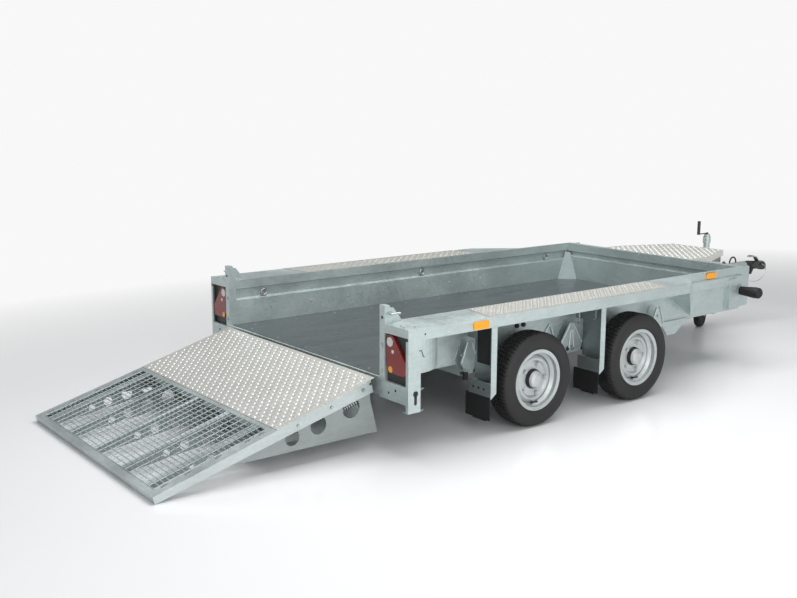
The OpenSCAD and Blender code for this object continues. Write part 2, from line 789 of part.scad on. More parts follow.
// Cable held in an arch above the overrun housing
module looped_cable() {
    r = 42;
    thick = 6;
    x = nose_x - 445;
    z = shaft_z + 91 - r - thick;
    placed() color(black) {
        translate([x, 0, z]) rotate([90, 0, 0]) rotate_extrude(angle = 180, $fn = 48)
            translate([r, 0]) circle(r = thick, $fn = 16);
        for (side = [-1, 1]) translate([x + side * r, 0, shaft_z + housing_r + seat])
            cylinder(r = thick, h = z - shaft_z - housing_r - seat, $fn = 16);
    }
}

// Ring of the cable's skin at point i of its route
function cable_ring(route, i, r, sides) =
    let (n = len(route), a = route[max(i - 1, 0)], b = route[min(i + 1, n - 1)],
        t = unit(b - a), u = unit(cross(t, [0, 0.2, 1])), v = cross(u, t))
    [for (k = [0 : sides - 1]) route[i] + r * (cos(360 * k / sides) * u + sin(360 * k / sides) * v)];

// Closed tube swept along a route
module cable(route, r, sides = 8) {
    n = len(route);
    polyhedron(
        points = [for (i = [0 : n - 1]) each cable_ring(route, i, r, sides)],
        faces = concat([[for (k = [0 : sides - 1]) k]],
            [[for (k = [sides - 1 : -1 : 0]) (n - 1) * sides + k]],
            [for (i = [0 : n - 2], k = [0 : sides - 1]) let (j = (k + 1) % sides)
                [i * sides + j, i * sides + k, (i + 1) * sides + k, (i + 1) * sides + j]]));
}

// Thin breakaway cable that hangs from the coupling head to the drawbar
module breakaway_cable() {
    placed() color([0.6, 0.62, 0.62]) cable(breakaway_route, 2);
}

// Lashing rings in the wall grooves
module lashing_rings() {
    z = (groove_low + groove_high) / 2;
    y = half_in + groove_depth - seat;
    placed() color([0.6, 0.62, 0.62]) both_sides() for (x = [255, bed_length / 2 + 25, bed_length - 240]) {
        along_y(y - 4, y) polygon(rounded([[x - 24, z - 18, 6], [x + 24, z - 18, 6],
            [x + 24, z + 18, 6], [x - 24, z + 18, 6]]));
        translate([x, y - 7, z - 6]) rotate([90, 0, 0]) rotate_extrude($fn = 32)
            translate([18, 0]) circle(r = 4.9, $fn = 14);
    }
}

// Rope hooks under the running boards
module rope_hooks() {
    z = wall_top - 145;
    placed() color(galvanised) both_sides() for (x = [flap_xs[1] + 21, flap_xs[1] + 142])
        translate([x, wall_out + seat, z]) {
            block([-4, 0, 0], [4, 26, 8]);
            block([-4, 18, 0], [4, 26, 40]);
        }
}

// Axle beams, their back plates and stub shafts
module axles() {
    half = tyre_y - 82;
    placed() color(galvanised) for (x = axle_xs) {
        block([x - axle_beam / 2, -half, axle_z - axle_beam / 2],
            [x + axle_beam / 2, half, axle_z + axle_beam / 2]);
        both_sides() {
            bar_y(x, axle_z, half - 1, half + 8, 108);
            bar_y(x, axle_z, half, tyre_y + 10, 17);
        }
    }
}

// Length of leaf k from the axle to its end: the top leaf reaches the eyes
function leaf_reach(k) = spring_half * (1 - 0.22 * (leaf_count - 1 - k));

// Height of the pack's curve at a distance x from the axle
function leaf_rise(x) = spring_low + leaf_sweep * pow(x / spring_half, 2);

// Outline of half a leaf pack, stepped where each leaf ends
function leaf_outline() = concat(
    [for (k = [0 : leaf_count - 1], i = [0 : 3])
        let (from = k == 0 ? 0 : leaf_reach(k - 1), x = from + (leaf_reach(k) - from) * i / 3)
        [x, leaf_rise(x) + k * leaf_t]],
    [for (i = [8 : -1 : 0]) let (x = spring_half * i / 8) [x, leaf_rise(x) + leaf_count * leaf_t]]);

// Leaf spring packs over the axles
module leaf_springs() {
    eye_r = 14;
    low = spring_y - leaf_w / 2;
    high = spring_y + leaf_w / 2;
    right = leaf_outline();
    left = [for (i = [len(right) - 2 : -1 : 1]) [-right[i].x, right[i].y]];
    placed() color([0.2, 0.2, 0.2]) both_sides() for (x = axle_xs) difference() {
        union() {
            translate([x, 0, 0]) along_y(low, high) polygon(concat(right, left));
            for (side = [-1, 1]) bar_y(x + side * spring_half, eye_z, low, high, eye_r);
        }
        for (side = [-1, 1]) bar_y(x + side * spring_half, eye_z, low - 1, high + 1, 8);
    }
}

// Brackets and pins that carry the springs on the side walls
module spring_hangers() {
    t = 5;
    pin_y = spring_y + leaf_w / 2 + seat;
    ends = [axle_xs[0] - spring_half, axle_xs[1] + spring_half];
    mids = [axle_xs[0] + spring_half, axle_xs[1] - spring_half];
    placed() color(galvanised) both_sides() {
        for (x = ends) {
            for (y = [wall_out + seat, pin_y]) along_y(y, y + t)
                polygon([[x - 22, eye_z - 20], [x + 22, eye_z - 20], [x + 60, eye_z + 45],
                    [x + 16, hanger_top], [x - 16, hanger_top], [x - 60, eye_z + 45]]);
            bar_y(x, eye_z, wall_out + seat, pin_y + t, 8 - seat);
        }
        for (y = [wall_out + seat, pin_y]) along_y(y, y + t)
            polygon([[mids[0] - 22, eye_z - 20], [mids[1] + 22, eye_z - 20], [mids[1] + 34, eye_z + 34],
                [mid_axle_x + 14, hanger_top], [mid_axle_x - 14, hanger_top], [mids[0] - 34, eye_z + 34]]);
        for (x = mids) bar_y(x, eye_z, wall_out + seat, pin_y + t, 8 - seat);
        along_y(wall_out + seat, wall_out + 8) polygon([[board_length + 15, deck_z - 6],
            [board_length + 310, deck_z - 6], [board_length + 170, 285], [board_length + 90, 285]]);
    }
}

// Ramp pieces are written along a flat ramp: x is forward from the hinge pin, z is up from it
module on_ramp() {
    placed() translate([pin_x, 0, pin_z]) rotate([0, -ramp_angle, 0]) children();
}

// Point of the bed's frame, [x, z], as seen in the ramp's frame
function to_ramp(p) =
    let (d = p - [pin_x, pin_z])
    [d.x * cos(ramp_angle) + d.y * sin(ramp_angle), d.y * cos(ramp_angle) - d.x * sin(ramp_angle)];

// Front corners that the ribs and gussets share when the ramp is down
rib_foot = to_ramp([8, rib_low_z]);
rib_throat = to_ramp([-37, 265]);

// Outline of a deep rib: level below the hinge, then tapering to the tip
rib_outline = [[-ramp_reach + 4, flange_top - 1], [-ramp_reach + 4, flange_top - tip_depth + 8],
    to_ramp([-600, rib_low_z]), rib_foot, rib_throat, [knuckle_r - 2, 0], [6, flange_top - 1]];

// Ramp frame: side channels, tip channel, deep ribs with round cut-outs, and hinge knuckles
module ramp_frame() {
    rim = 60;
    tip_low = flange_top - tip_depth + plate_t;
    // Rows are [distance from the pin, depth of the centre under the surface, diameter]
    rib_holes = [[370, 96, 104], [495, 80, 92], [622, 66, 74], [746, 58, 62], [861, 50, 50], [957, 44, 38]];
    gusset_holes = [[135, 95, 104], [336, 92, 92], [490, 84, 80]];
    on_ramp() color(galvanised) difference() {
        union() {
            both_sides() {
                block([-ramp_reach, ramp_half - rim, flange_top - 4], [6, ramp_half, flange_top]);
                along_y(ramp_half - 4, ramp_half) polygon([[6, flange_top], [-ramp_reach, flange_top],
                    [-ramp_reach, tip_low], [6, flange_top - channel_depth]]);
                along_y(ramp_half - 34, ramp_half)
                    polygon(folded([[-ramp_reach, tip_low], [6, flange_top - channel_depth]], 4));
                difference() {
                    along_y(gusset_y - rib_t, gusset_y) polygon([[6, flange_top - 1], rib_throat, rib_foot,
                        to_ramp([-866, rib_low_z]), [-866, flange_top - 1]]);
                    for (h = gusset_holes)
                        bar_y(-h[0], surface_over_pin - h[1], gusset_y - 20, gusset_y + 3, h[2] / 2);
                }
                for (x = [spring_x - 6 - seat, spring_x + spring_coils * spring_pitch + 6 + seat])
                    bar_y(x, spring_drop, gusset_y - 54, gusset_y - 2, 6);
            }
            for (y = rib_ys) difference() {
                union() {
                    along_y(y - rib_t / 2, y + rib_t / 2) polygon(rib_outline);
                    block([-ramp_reach + 4, y - 16, flange_top - 4], [-30, y + 16, flange_top]);
                }
                for (h = rib_holes) bar_y(-h[0], surface_over_pin - h[1], y - 10, y + 10, h[2] / 2);
            }
            for (y = hinged_rib_ys) bar_y(0, 0, y - knuckle_half, y + knuckle_half, knuckle_r);
            for (x = [-90, -tread_length - 12])
                block([x, -ramp_half + 4, flange_top - 40], [x + 4, ramp_half - 4, flange_top]);
            block([-tread_length - 24, -ramp_half + 4, flange_top - 4],
                [-tread_length + 20, ramp_half - 4, flange_top]);
            along_y(-ramp_half, ramp_half) polygon(folded([[-ramp_reach + 35, flange_top],
                [-ramp_reach, flange_top], [-ramp_reach, tip_low], [-ramp_reach + 30, tip_low]], 4));
        }
        bar_y(0, 0, -ramp_half, ramp_half, pin_r + pin_gap);
    }
}

// Patterned tread plate on the upper part of the ramp
module ramp_tread() {
    on_ramp() color(tread_grey)
        block([-tread_length, -ramp_half + 4, flange_top], [root_overhang, ramp_half - 4, surface_over_pin]);
}

// Mesh on the lower part of the ramp, let in between the frame's flanges
module ramp_mesh() {
    x0 = -ramp_reach + 35 + seat;
    x1 = -tread_length - 24 - seat;
    rows = floor((x1 - x0 - mesh_bar) / mesh_pitch);
    columns = floor((2 * mesh_half - mesh_bar) / mesh_pitch);
    step_x = (x1 - x0 - mesh_bar) / rows;
    step_y = (2 * mesh_half - mesh_bar) / columns;
    on_ramp() color(galvanised) upward(flange_top, surface_over_pin) difference() {
        translate([x0, -mesh_half]) square([x1 - x0, 2 * mesh_half]);
        for (i = [0 : rows - 1], k = [0 : columns - 1])
            translate([x0 + mesh_bar + i * step_x, -mesh_half + mesh_bar + k * step_y])
                square([step_x - mesh_bar, step_y - mesh_bar]);
    }
}

// Assist springs under the ramp beside the outer gussets
module ramp_springs() {
    on_ramp() color([0.55, 0.58, 0.58]) both_sides()
        translate([spring_x, gusset_y - 34, spring_drop]) rotate([0, 90, 0])
        rotate_extrude($fn = 28)
        polygon(concat([[0, 0]], [for (k = [0 : spring_coils - 1]) let (x = k * spring_pitch)
            each [[17, x], [22, x + 3], [22, x + 9], [17, x + 12]]], [[0, spring_coils * spring_pitch]]));
}

// Tyre revolved from its section, outward along +z
module tyre_body() {
    bead = rim_r - 16;
    half = tyre_w / 2;
    seat_half = rim_w / 2 - 2 - seat;
    // Rows are [radius, distance from the middle plane]
    outer = [[bead, seat_half], [rim_r + 2 * seat, rim_w / 2 - seat], [rim_r + 8, half - 5],
        [rim_r + 30, half], [tyre_r - 32, half - 2], [tyre_r - 12, half - 11], [tyre_r - 4, half - 22],
        [tyre_r, half - 40],
        [tyre_r, 24], [tyre_r - 7, 23], [tyre_r - 7, 18], [tyre_r, 17]];
    inner = [[tyre_r - 16, 10], [tyre_r - 18, half - 34], [tyre_r - 34, half - 12],
        [rim_r + 26, half - 8], [rim_r + 2, seat_half - 10], [bead, seat_half - 10]];
    up = concat(inner, outer);
    rotate_extrude($fn = 72) polygon(concat(up, [for (i = [len(up) - 1 : -1 : 0]) [up[i].x, -up[i].y]]));
}

// Wheel revolved from its section: rim, dished disc, drum and hub cap, with its nuts
module wheel_body() {
    half = rim_w / 2;
    well = rim_r - 32;
    bead = rim_r - 16 - seat;
    face = 22;
    bore = 56;
    // Rows are [radius, distance from the middle plane]
    barrel = [[rim_r, -half], [bead, -half + 2], [bead, -half + 20], [well, -half + 36],
        [well, half - 40], [bead, half - 24], [bead, half - 2], [rim_r, half]];
    disc = [[well - 3, 8], [well - 8, 22], [well - 22, 34], [well - 34, 34], [well - 44, face], [bore, face]];
    difference() {
        union() {
            rotate_extrude($fn = 72) {
                polygon(folded(barrel, 3.5));
                polygon(folded(disc, 5));
                polygon([[0, -68], [100, -68], [104, -40], [100, face - 5], [0, face - 5]]);
                polygon([[0, face - 14], [48, face - 14], [48, face + 22], [42, face + 34],
                    [22, face + 40], [0, face + 40]]);
            }
            for (k = [0 : nut_count - 1]) rotate([0, 0, k * 360 / nut_count])
                translate([nut_pcd / 2, 0, face - 8]) {
                    cylinder(r = 7, h = 26, $fn = 16);
                    cylinder(r = 12, h = 22, $fn = 6);
                }
        }
        translate([0, 0, -80]) cylinder(r = 17 + pin_gap, h = 80 + 12, $fn = 40);
    }
}

// Rows are [axle, side]: 0 is the rear axle, and side 1 is the left
module at_wheel(axle, side) {
    placed() translate([axle_xs[axle], side * tyre_y, axle_z]) rotate([-90 * side, 0, 0]) children();
}

module tyre_rear_left() {
    color(black) at_wheel(0, 1) tyre_body();
}

module tyre_rear_right() {
    color(black) at_wheel(0, -1) tyre_body();
}

module tyre_front_left() {
    color(black) at_wheel(1, 1) tyre_body();
}

module tyre_front_right() {
    color(black) at_wheel(1, -1) tyre_body();
}

module wheel_rear_left() {
    color(galvanised) at_wheel(0, 1) wheel_body();
}

module wheel_rear_right() {
    color(galvanised) at_wheel(0, -1) wheel_body();
}

module wheel_front_left() {
    color(galvanised) at_wheel(1, 1) wheel_body();
}

module wheel_front_right() {
    color(galvanised) at_wheel(1, -1) wheel_body();
}

chassis_frame();
drawbar();
deck_floor();
side_wall_left();
side_wall_right();
headboard();
corner_gussets();
front_cheeks();
rear_frame();
ramp_latches();
running_board_left();
running_board_right();
tread_covers();
mudguard_left();
mudguard_right();
rear_wings();
mud_flaps();
lamp_panels();
tail_lamps();
reverse_lamps();
side_markers();
corner_lamps();
bucket_rest();
jockey_tube();
jockey_crank();
coupling_housing();
bellows();
coupling_head();
coupling_handle();
handbrake_lever();
looped_cable();
breakaway_cable();
lashing_rings();
rope_hooks();
axles();
leaf_springs();
spring_hangers();
hinge_pins();
ramp_frame();
ramp_tread();
ramp_mesh();
ramp_springs();
tyre_rear_left();
tyre_rear_right();
tyre_front_left();
tyre_front_right();
wheel_rear_left();
wheel_rear_right();
wheel_front_left();
wheel_front_right();
jockey_leg();
jockey_fork();
jockey_wheel();
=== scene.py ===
"""Looks of the plant trailer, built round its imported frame: metals, tread, tyres, mesh and fastenings."""
import json
import math
import bpy
from mathutils import Matrix, Vector


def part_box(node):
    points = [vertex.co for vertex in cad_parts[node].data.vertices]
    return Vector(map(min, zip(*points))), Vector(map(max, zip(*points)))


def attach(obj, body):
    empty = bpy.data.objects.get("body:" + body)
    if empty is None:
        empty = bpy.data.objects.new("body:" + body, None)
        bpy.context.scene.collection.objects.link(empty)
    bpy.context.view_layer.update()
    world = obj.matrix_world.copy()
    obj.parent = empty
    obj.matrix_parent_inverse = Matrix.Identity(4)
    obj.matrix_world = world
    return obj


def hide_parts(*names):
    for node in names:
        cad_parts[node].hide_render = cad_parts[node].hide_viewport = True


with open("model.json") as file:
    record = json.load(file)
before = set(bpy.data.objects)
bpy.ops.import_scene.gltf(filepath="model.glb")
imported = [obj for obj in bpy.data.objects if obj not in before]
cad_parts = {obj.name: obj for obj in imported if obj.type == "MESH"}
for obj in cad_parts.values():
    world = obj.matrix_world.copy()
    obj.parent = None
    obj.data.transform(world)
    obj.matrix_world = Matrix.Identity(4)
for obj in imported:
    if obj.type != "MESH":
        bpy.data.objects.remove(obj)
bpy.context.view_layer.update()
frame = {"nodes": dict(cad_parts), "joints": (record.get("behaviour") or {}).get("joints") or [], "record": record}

# Places, in metres. The bed's own frame starts at its rear plane, as in the part's source.
PIN_BEHIND_BED = 0.045
joints = {j["name"]: j for j in frame["joints"]}
HINGE = Vector(joints["ramp_hinge"]["pos_m"])
BED_X = HINGE.x + PIN_BEHIND_BED
WALL_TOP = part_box("side_wall_left")[1].z
DECK_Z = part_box("deck_floor")[1].z
DECK_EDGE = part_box("deck_floor")[1].y
HALF_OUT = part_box("running_board_left")[1].y
WALL_IN, WALL_OUT = 0.770, 0.773
POST_Y = 0.791

# Suspension: outer hanger plates, spring eyes, tops of the hangers and their places along the bed
HANGER_Y = 0.8293
EYE_Z = 0.344
HANGER_TOP = 0.500
END_HANGERS = (0.551, 2.126)
MID_EYES = (1.279, 1.398)
MID_X = 1.3385

# Transverse panels behind which the wheels turn and on which the flaps hang
FLAP_XS = (0.592, 1.439)
PANEL_T = 0.003

# The ramp lies from its hinge to the ground
RAMP_REACH = 1.222
TIP_ARM = 0.020
PLATE_TOP = 0.020
PLATE_UNDER = 0.017
RAMP_HALF = 0.755
TREAD_LENGTH = 0.561
ramp_angle = math.asin(HINGE.z / math.hypot(RAMP_REACH, TIP_ARM)) - math.atan(TIP_ARM / RAMP_REACH)
ON_RAMP = Matrix.Translation(HINGE) @ Matrix.Rotation(-ramp_angle, 4, "Y")

# Solved view of the photograph: place in the bed's frame, angles in degrees, focal length in pixels
CAMERA_PLACE = (-2.9523, -4.6871, 1.6976)
CAMERA_YAW, CAMERA_PITCH, CAMERA_ROLL = 51.9, -10.6, 0.2
FOCAL_PX = 1009.5
PHOTO_WIDTH = 797
SENSOR = 36.0

# Each wheel with its side of the trailer
WHEELS = {"rear_left": 1, "rear_right": -1, "front_left": 1, "front_right": -1}
SIDES = (-1, 1)


def bed(x, y, z):
    """A point of the bed's frame in the part's frame."""
    return Vector((BED_X + x, y, z))


def circle(radius, sides):
    """Points of a flat ring round the origin."""
    angles = [2 * math.pi * k / sides for k in range(sides)]
    return [(radius * math.cos(a), radius * math.sin(a)) for a in angles]


def spaced(first, step, count):
    return [first + step * k for k in range(count)]


class Shape:
    """Vertices and faces gathered from simple solids, made into one piece."""

    def __init__(self):
        self.points = []
        self.faces = []

    def add(self, points, faces, place=Matrix.Identity(4)):
        base = len(self.points)
        self.points += [place @ Vector(p) for p in points]
        self.faces += [[base + i for i in face] for face in faces]

    def prism(self, outline, low, high, place=Matrix.Identity(4), top_scale=1.0):
        """A flat outline raised from low to high, its top scaled about the outline's middle."""
        n = len(outline)
        mx = sum(p[0] for p in outline) / n
        my = sum(p[1] for p in outline) / n
        top = [(mx + (x - mx) * top_scale, my + (y - my) * top_scale, high) for x, y in outline]
        faces = [[i, (i + 1) % n, n + (i + 1) % n, n + i] for i in range(n)]
        self.add([(x, y, low) for x, y in outline] + top,
                 faces + [list(range(n - 1, -1, -1)), list(range(n, 2 * n))], place)

    def box(self, low, high, place=Matrix.Identity(4)):
        (x0, y0, z0), (x1, y1, z1) = low, high
        self.prism([(x0, y0), (x1, y0), (x1, y1), (x0, y1)], z0, z1, place)

    def lathe(self, rows, place=Matrix.Identity(4), sides=32):
        """Rows of (radius, height) turned about the z axis; a row of radius 0 closes an end."""
        rings, points = [], []
        for radius, height in rows:
            if radius == 0:
                rings.append([len(points)])
                points.append((0, 0, height))
                continue
            rings.append(list(range(len(points), len(points) + sides)))
            points += [(x, y, height) for x, y in circle(radius, sides)]
        faces = []
        for a, b in zip(rings, rings[1:]):
            for k in range(sides):
                n = (k + 1) % sides
                if len(a) == 1:
                    faces.append([a[0], b[n], b[k]])
                elif len(b) == 1:
                    faces.append([a[k], a[n], b[0]])
                else:
                    faces.append([a[k], a[n], b[n], b[k]])
        self.add(points, faces, place)

    def bar(self, start, end, radius, sides=8):
        """A round bar between two points."""
        start, end = Vector(start), Vector(end)
        turn = (end - start).to_track_quat("Z", "Y").to_matrix().to_4x4()
        length = (end - start).length
        rows = [(0, 0), (radius, 0), (radius, length), (0, length)]
        self.lathe(rows, Matrix.Translation(start) @ turn, sides)

    def sweep(self, path, radius, sides=8):
        """A round bar along a path, closed at both ends."""
        path = [Vector(p) for p in path]
        last = len(path) - 1
        # A direction that no path here runs along
        aside = Vector((0.13, 0.21, 1.0))
        points, faces = [], []
        for i, p in enumerate(path):
            ahead = (path[min(i + 1, last)] - path[max(i - 1, 0)]).normalized()
            u = ahead.cross(aside).normalized()
            v = ahead.cross(u)
            points += [p + radius * (x * u + y * v) for x, y in circle(1, sides)]
        for i in range(last):
            low, high = i * sides, (i + 1) * sides
            for k in range(sides):
                after = (k + 1) % sides
                faces.append([low + k, low + after, high + after, high + k])
        ends = [list(range(sides - 1, -1, -1)), list(range(last * sides, (last + 1) * sides))]
        self.add(points, faces + ends)

    def disc(self, place, radius, height, sides=24):
        """A thin round button, a little narrower at its top."""
        self.lathe([(0, 0), (radius, 0), (radius * 0.96, height), (0, height)], place, sides)

    def both_boxes(self, x, y, z):
        """The same box on both sides. x, y and z are pairs in the bed's frame, y from the middle out."""
        for side in SIDES:
            y0, y1 = sorted((side * y[0], side * y[1]))
            self.box(bed(x[0], y0, z[0]), bed(x[1], y1, z[1]))

    def piece(self, name, material, body, slot, smooth_angle=None):
        mesh = bpy.data.meshes.new(name)
        mesh.from_pydata([tuple(p) for p in self.points], [], self.faces)
        mesh.update()
        obj = bpy.data.objects.new(name, mesh)
        bpy.context.scene.collection.objects.link(obj)
        mesh.materials.append(material)
        if smooth_angle is not None:
            for polygon in mesh.polygons:
                polygon.use_smooth = True
            mesh.set_sharp_from_angle(angle=math.radians(smooth_angle))
        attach(obj, body)
        return obj


class Look:
    """A procedural material round one Principled shader, in object space (metres)."""

    def __init__(self, name, colour, metallic=0.0, roughness=0.5, coat=0.0):
        self.material = bpy.data.materials.new(name)
        self.material.use_nodes = True
        self.nodes = self.material.node_tree.nodes
        self.links = self.material.node_tree.links
        self.shader = self.nodes["Principled BSDF"]
        self.shader.inputs["Base Color"].default_value = (*colour, 1)
        self.shader.inputs["Metallic"].default_value = metallic
        self.shader.inputs["Roughness"].default_value = roughness
        self.shader.inputs["Coat Weight"].default_value = coat
        self.colour = colour
        self.where = self.nodes.new("ShaderNodeTexCoord").outputs["Object"]

    def node(self, kind, settings=None, **inputs):
        made = self.nodes.new(kind)
        for key, value in (settings or {}).items():
            setattr(made, key, value)
        for key, value in inputs.items():
            socket = made.inputs[key.replace("_", " ")]
            if isinstance(value, bpy.types.NodeSocket):
                self.links.new(value, socket)
            else:
                socket.default_value = value
        return made

    def stretched(self, scale):
        return self.node("ShaderNodeMapping", Vector=self.where, Scale=scale).outputs["Vector"]

    def noise(self, scale, detail=3.0, vector=None):
        made = self.node("ShaderNodeTexNoise", Vector=vector or self.where, Scale=scale, Detail=detail)
        return made.outputs["Fac"]

    def cells(self, scale, output="Color", feature="F1", vector=None):
        where = vector or self.where
        made = self.node("ShaderNodeTexVoronoi", {"feature": feature}, Vector=where, Scale=scale)
        return made.outputs[output]

    def wave(self, direction, scale):
        bands = {"bands_direction": direction}
        return self.node("ShaderNodeTexWave", bands, Vector=self.where, Scale=scale).outputs["Fac"]

    def along(self, vector, axis):
        return self.node("ShaderNodeSeparateXYZ", Vector=vector).outputs[axis]

    def grey(self, colour):
        return self.node("ShaderNodeSeparateColor", Color=colour).outputs["Red"]

    def between(self, value, low, high, from_low=0.0, from_high=1.0):
        made = self.node("ShaderNodeMapRange", Value=value)
        made.inputs["From Min"].default_value = from_low
        made.inputs["From Max"].default_value = from_high
        made.inputs["To Min"].default_value = low
        made.inputs["To Max"].default_value = high
        return made.outputs["Result"]

    def math(self, operation, a, b):
        made = self.node("ShaderNodeMath", {"operation": operation})
        for socket, value in zip(made.inputs, (a, b)):
            if isinstance(value, bpy.types.NodeSocket):
                self.links.new(value, socket)
            else:
                socket.default_value = value
        return made.outputs["Value"]

    def tinted(self, factor):
        """The base colour times a factor near 1."""
        made = self.node("ShaderNodeMix", {"data_type": "RGBA", "blend_type": "MULTIPLY"})
        grey = self.node("ShaderNodeCombineColor", Red=factor, Green=factor, Blue=factor).outputs["Color"]
        # The node's sockets share names between its types, so they are taken by number
        amount, first, second, result = made.inputs[0], made.inputs[6], made.inputs[7], made.outputs[2]
        amount.default_value = 1.0
        first.default_value = (*self.colour, 1)
        self.links.new(grey, second)
        self.links.new(result, self.shader.inputs["Base Color"])

    def rough(self, value):
        self.links.new(value, self.shader.inputs["Roughness"])

    def bump(self, height, strength, distance):
        made = self.node("ShaderNodeBump", Height=height, Strength=strength, Distance=distance)
        self.links.new(made.outputs["Normal"], self.shader.inputs["Normal"])


def painted_shade_faces(look, reach, tone, axis):
    """Painted shade: a factor of tone on faces along an axis that lie within reach of the middle plane, and 1
    elsewhere.
    """
    normal = look.nodes.new("ShaderNodeTexCoord").outputs["Normal"]
    distance = look.math("ABSOLUTE", look.along(look.where, "Y"), 0.0)
    faced = look.math("ABSOLUTE", look.along(normal, axis), 0.0)
    near = look.math("LESS_THAN", distance, reach)
    square = look.math("GREATER_THAN", faced, 0.7)
    return look.between(look.math("MULTIPLY", near, square), 1.0, tone)


def galvanised(name, colour, metallic=0.7, spangle=70.0, shaded=None):
    """Hot-dip zinc: crystals of slightly different tone, cloudy patches and a soft sheen.

    shaded is (reach, tone, axis): painted shade that makes a frame's inner plates darker than its outside.
    """
    look = Look(name, colour, metallic)
    crystal = look.grey(look.cells(spangle))
    cloud = look.noise(4.0, 4.0)
    streak = look.noise(9.0, 3.0, look.stretched((1.0, 1.0, 6.0)))
    tone = look.math("ADD", look.between(crystal, -0.05, 0.05), look.between(cloud, 0.90, 1.08, 0.3, 0.7))
    tone = look.math("ADD", tone, look.between(streak, -0.04, 0.04, 0.3, 0.7))
    # Painted shade on the inner plates, where shaded is given
    if shaded:
        tone = look.math("MULTIPLY", tone, painted_shade_faces(look, *shaded))
    look.tinted(tone)
    sheen = look.between(cloud, 0.34, 0.50, 0.3, 0.7)
    look.rough(look.math("ADD", look.between(crystal, 0.0, 0.12), sheen))
    look.bump(look.math("ADD", crystal, look.noise(260.0, 2.0)), 0.08, 0.0006)
    return look.material


def plain_metal(name, colour, metallic, low, high, grain=(1.0, 1.0, 1.0)):
    """Metal with a fine grain, its roughness between low and high."""
    look = Look(name, colour, metallic)
    brushed = look.noise(60.0, 4.0, look.stretched(grain))
    patch = look.between(look.noise(6.0, 3.0), 0.94, 1.05, 0.3, 0.7)
    look.tinted(look.math("ADD", look.between(brushed, -0.04, 0.04, 0.3, 0.7), patch))
    look.rough(look.between(brushed, low, high, 0.3, 0.7))
    look.bump(brushed, 0.12, 0.0005)
    return look.material


def rubber(name, colour, low=0.55, high=0.75, grain=420.0):
    """Black rubber or plastic with a fine grain and a little dust."""
    look = Look(name, colour, 0.0)
    dust = look.noise(14.0, 4.0)
    look.tinted(look.between(dust, 0.75, 1.5, 0.35, 0.7))
    look.rough(look.between(dust, low, high, 0.3, 0.7))
    look.bump(look.noise(grain, 2.0), 0.15, 0.0004)
    return look.material


def lens(name, colour, rib_scale):
    """Coloured lamp plastic with fine prisms under a clear surface."""
    look = Look(name, colour, 0.0, 0.22, 0.2)
    both = look.math("MULTIPLY", look.wave("Z", rib_scale), look.wave("Y", rib_scale))
    look.tinted(look.between(both, 0.7, 1.25))
    look.bump(both, 0.5, 0.0008)
    return look.material


def deck_board(name, colour):
    """Film-faced board: a pressed net of small ridges on a dark resin film, scuffed in patches."""
    look = Look(name, colour, 0.0, 0.4, 0.15)
    net = look.between(look.cells(160.0, "Distance", "DISTANCE_TO_EDGE"), 1.0, 0.0, 0.0, 0.12)
    scuff = look.noise(5.0, 5.0, look.stretched((0.5, 2.0, 1.0)))
    wear_and_shade = look.between(scuff, 0.85, 1.2, 0.3, 0.7)
    look.tinted(look.math("ADD", wear_and_shade, look.between(net, -0.05, 0.08)))
    look.rough(look.between(scuff, 0.30, 0.50, 0.3, 0.7))
    look.bump(net, 0.35, 0.0006)
    return look.material


def amber_plastic(name, colour):
    """Orange lamp plastic with upright prisms."""
    look = Look(name, colour, 0.0, 0.3, 0.1)
    prisms = look.wave("X", 60.0)
    look.tinted(look.between(prisms, 0.9, 1.1))
    look.bump(prisms, 0.4, 0.0006)
    return look.material


GALVANISED = galvanised("galvanised", (0.51, 0.585, 0.58))
# Painted shade: darker where the ramp's ribs and gussets face the sides, and where the panels face along the
# trailer
RAMP_STEEL_SHADED = galvanised("ramp_steel_painted_shade", (0.54, 0.595, 0.59), 0.7, 90.0, (RAMP_HALF - 0.012, 0.60, "Y"))
PANEL_STEEL_SHADED = galvanised("panel_steel_painted_shade", (0.51, 0.585, 0.58), shaded=(HALF_OUT, 0.50, "X"))
# Painted shade: a darker copy of the galvanised steel, for the corner gussets
SHADED_STEEL = galvanised("steel_painted_shade", (0.27, 0.32, 0.325))
GRID_STEEL = galvanised("grid_steel", (0.52, 0.60, 0.60), 0.75, 90.0)
WHEEL_SILVER = galvanised("wheel_silver", (0.53, 0.56, 0.56), 0.75, 140.0)
TREAD_ALLOY = plain_metal("tread_alloy", (0.68, 0.68, 0.64), 0.55, 0.34, 0.50, (1.0, 6.0, 1.0))
# Painted highlight: a near-white copy of the tread alloy for the ramp's lugs that catch the light
HIGHLIGHT_LUG = plain_metal("lug_painted_highlight", (0.98, 0.98, 0.96), 0.15, 0.22, 0.34)
# Painted light: a mid-tone copy, for the ramp's shaded lugs and for the boards' lit lugs
MID_LIGHT_LUG = plain_metal("lug_painted_mid_light", (0.60, 0.60, 0.56), 0.6, 0.38, 0.52)
# Painted shade: darker copies of the tread alloy for the running boards' covers and for their shaded lugs
BOARD_ALLOY_SHADED = plain_metal("board_alloy_painted_shade", (0.50, 0.50, 0.465), 0.6, 0.42, 0.56)
BOARD_LUG_SHADED = plain_metal("board_lug_painted_shade", (0.44, 0.44, 0.41), 0.6, 0.44, 0.58)
ZINC = plain_metal("zinc", (0.50, 0.52, 0.52), 0.85, 0.25, 0.40)
BLACK_METAL = plain_metal("black_metal", (0.028, 0.028, 0.030), 0.0, 0.35, 0.55)
DECK = deck_board("deck_board", (0.070, 0.085, 0.090))
TYRE = rubber("tyre_rubber", (0.013, 0.013, 0.0135))
RUBBER = rubber("black_rubber", (0.008, 0.008, 0.0085))
PLASTIC = rubber("black_plastic", (0.016, 0.016, 0.017), 0.35, 0.5, 700.0)
LAMP_RED = lens("lamp_red", (0.25, 0.012, 0.013), 50.0)
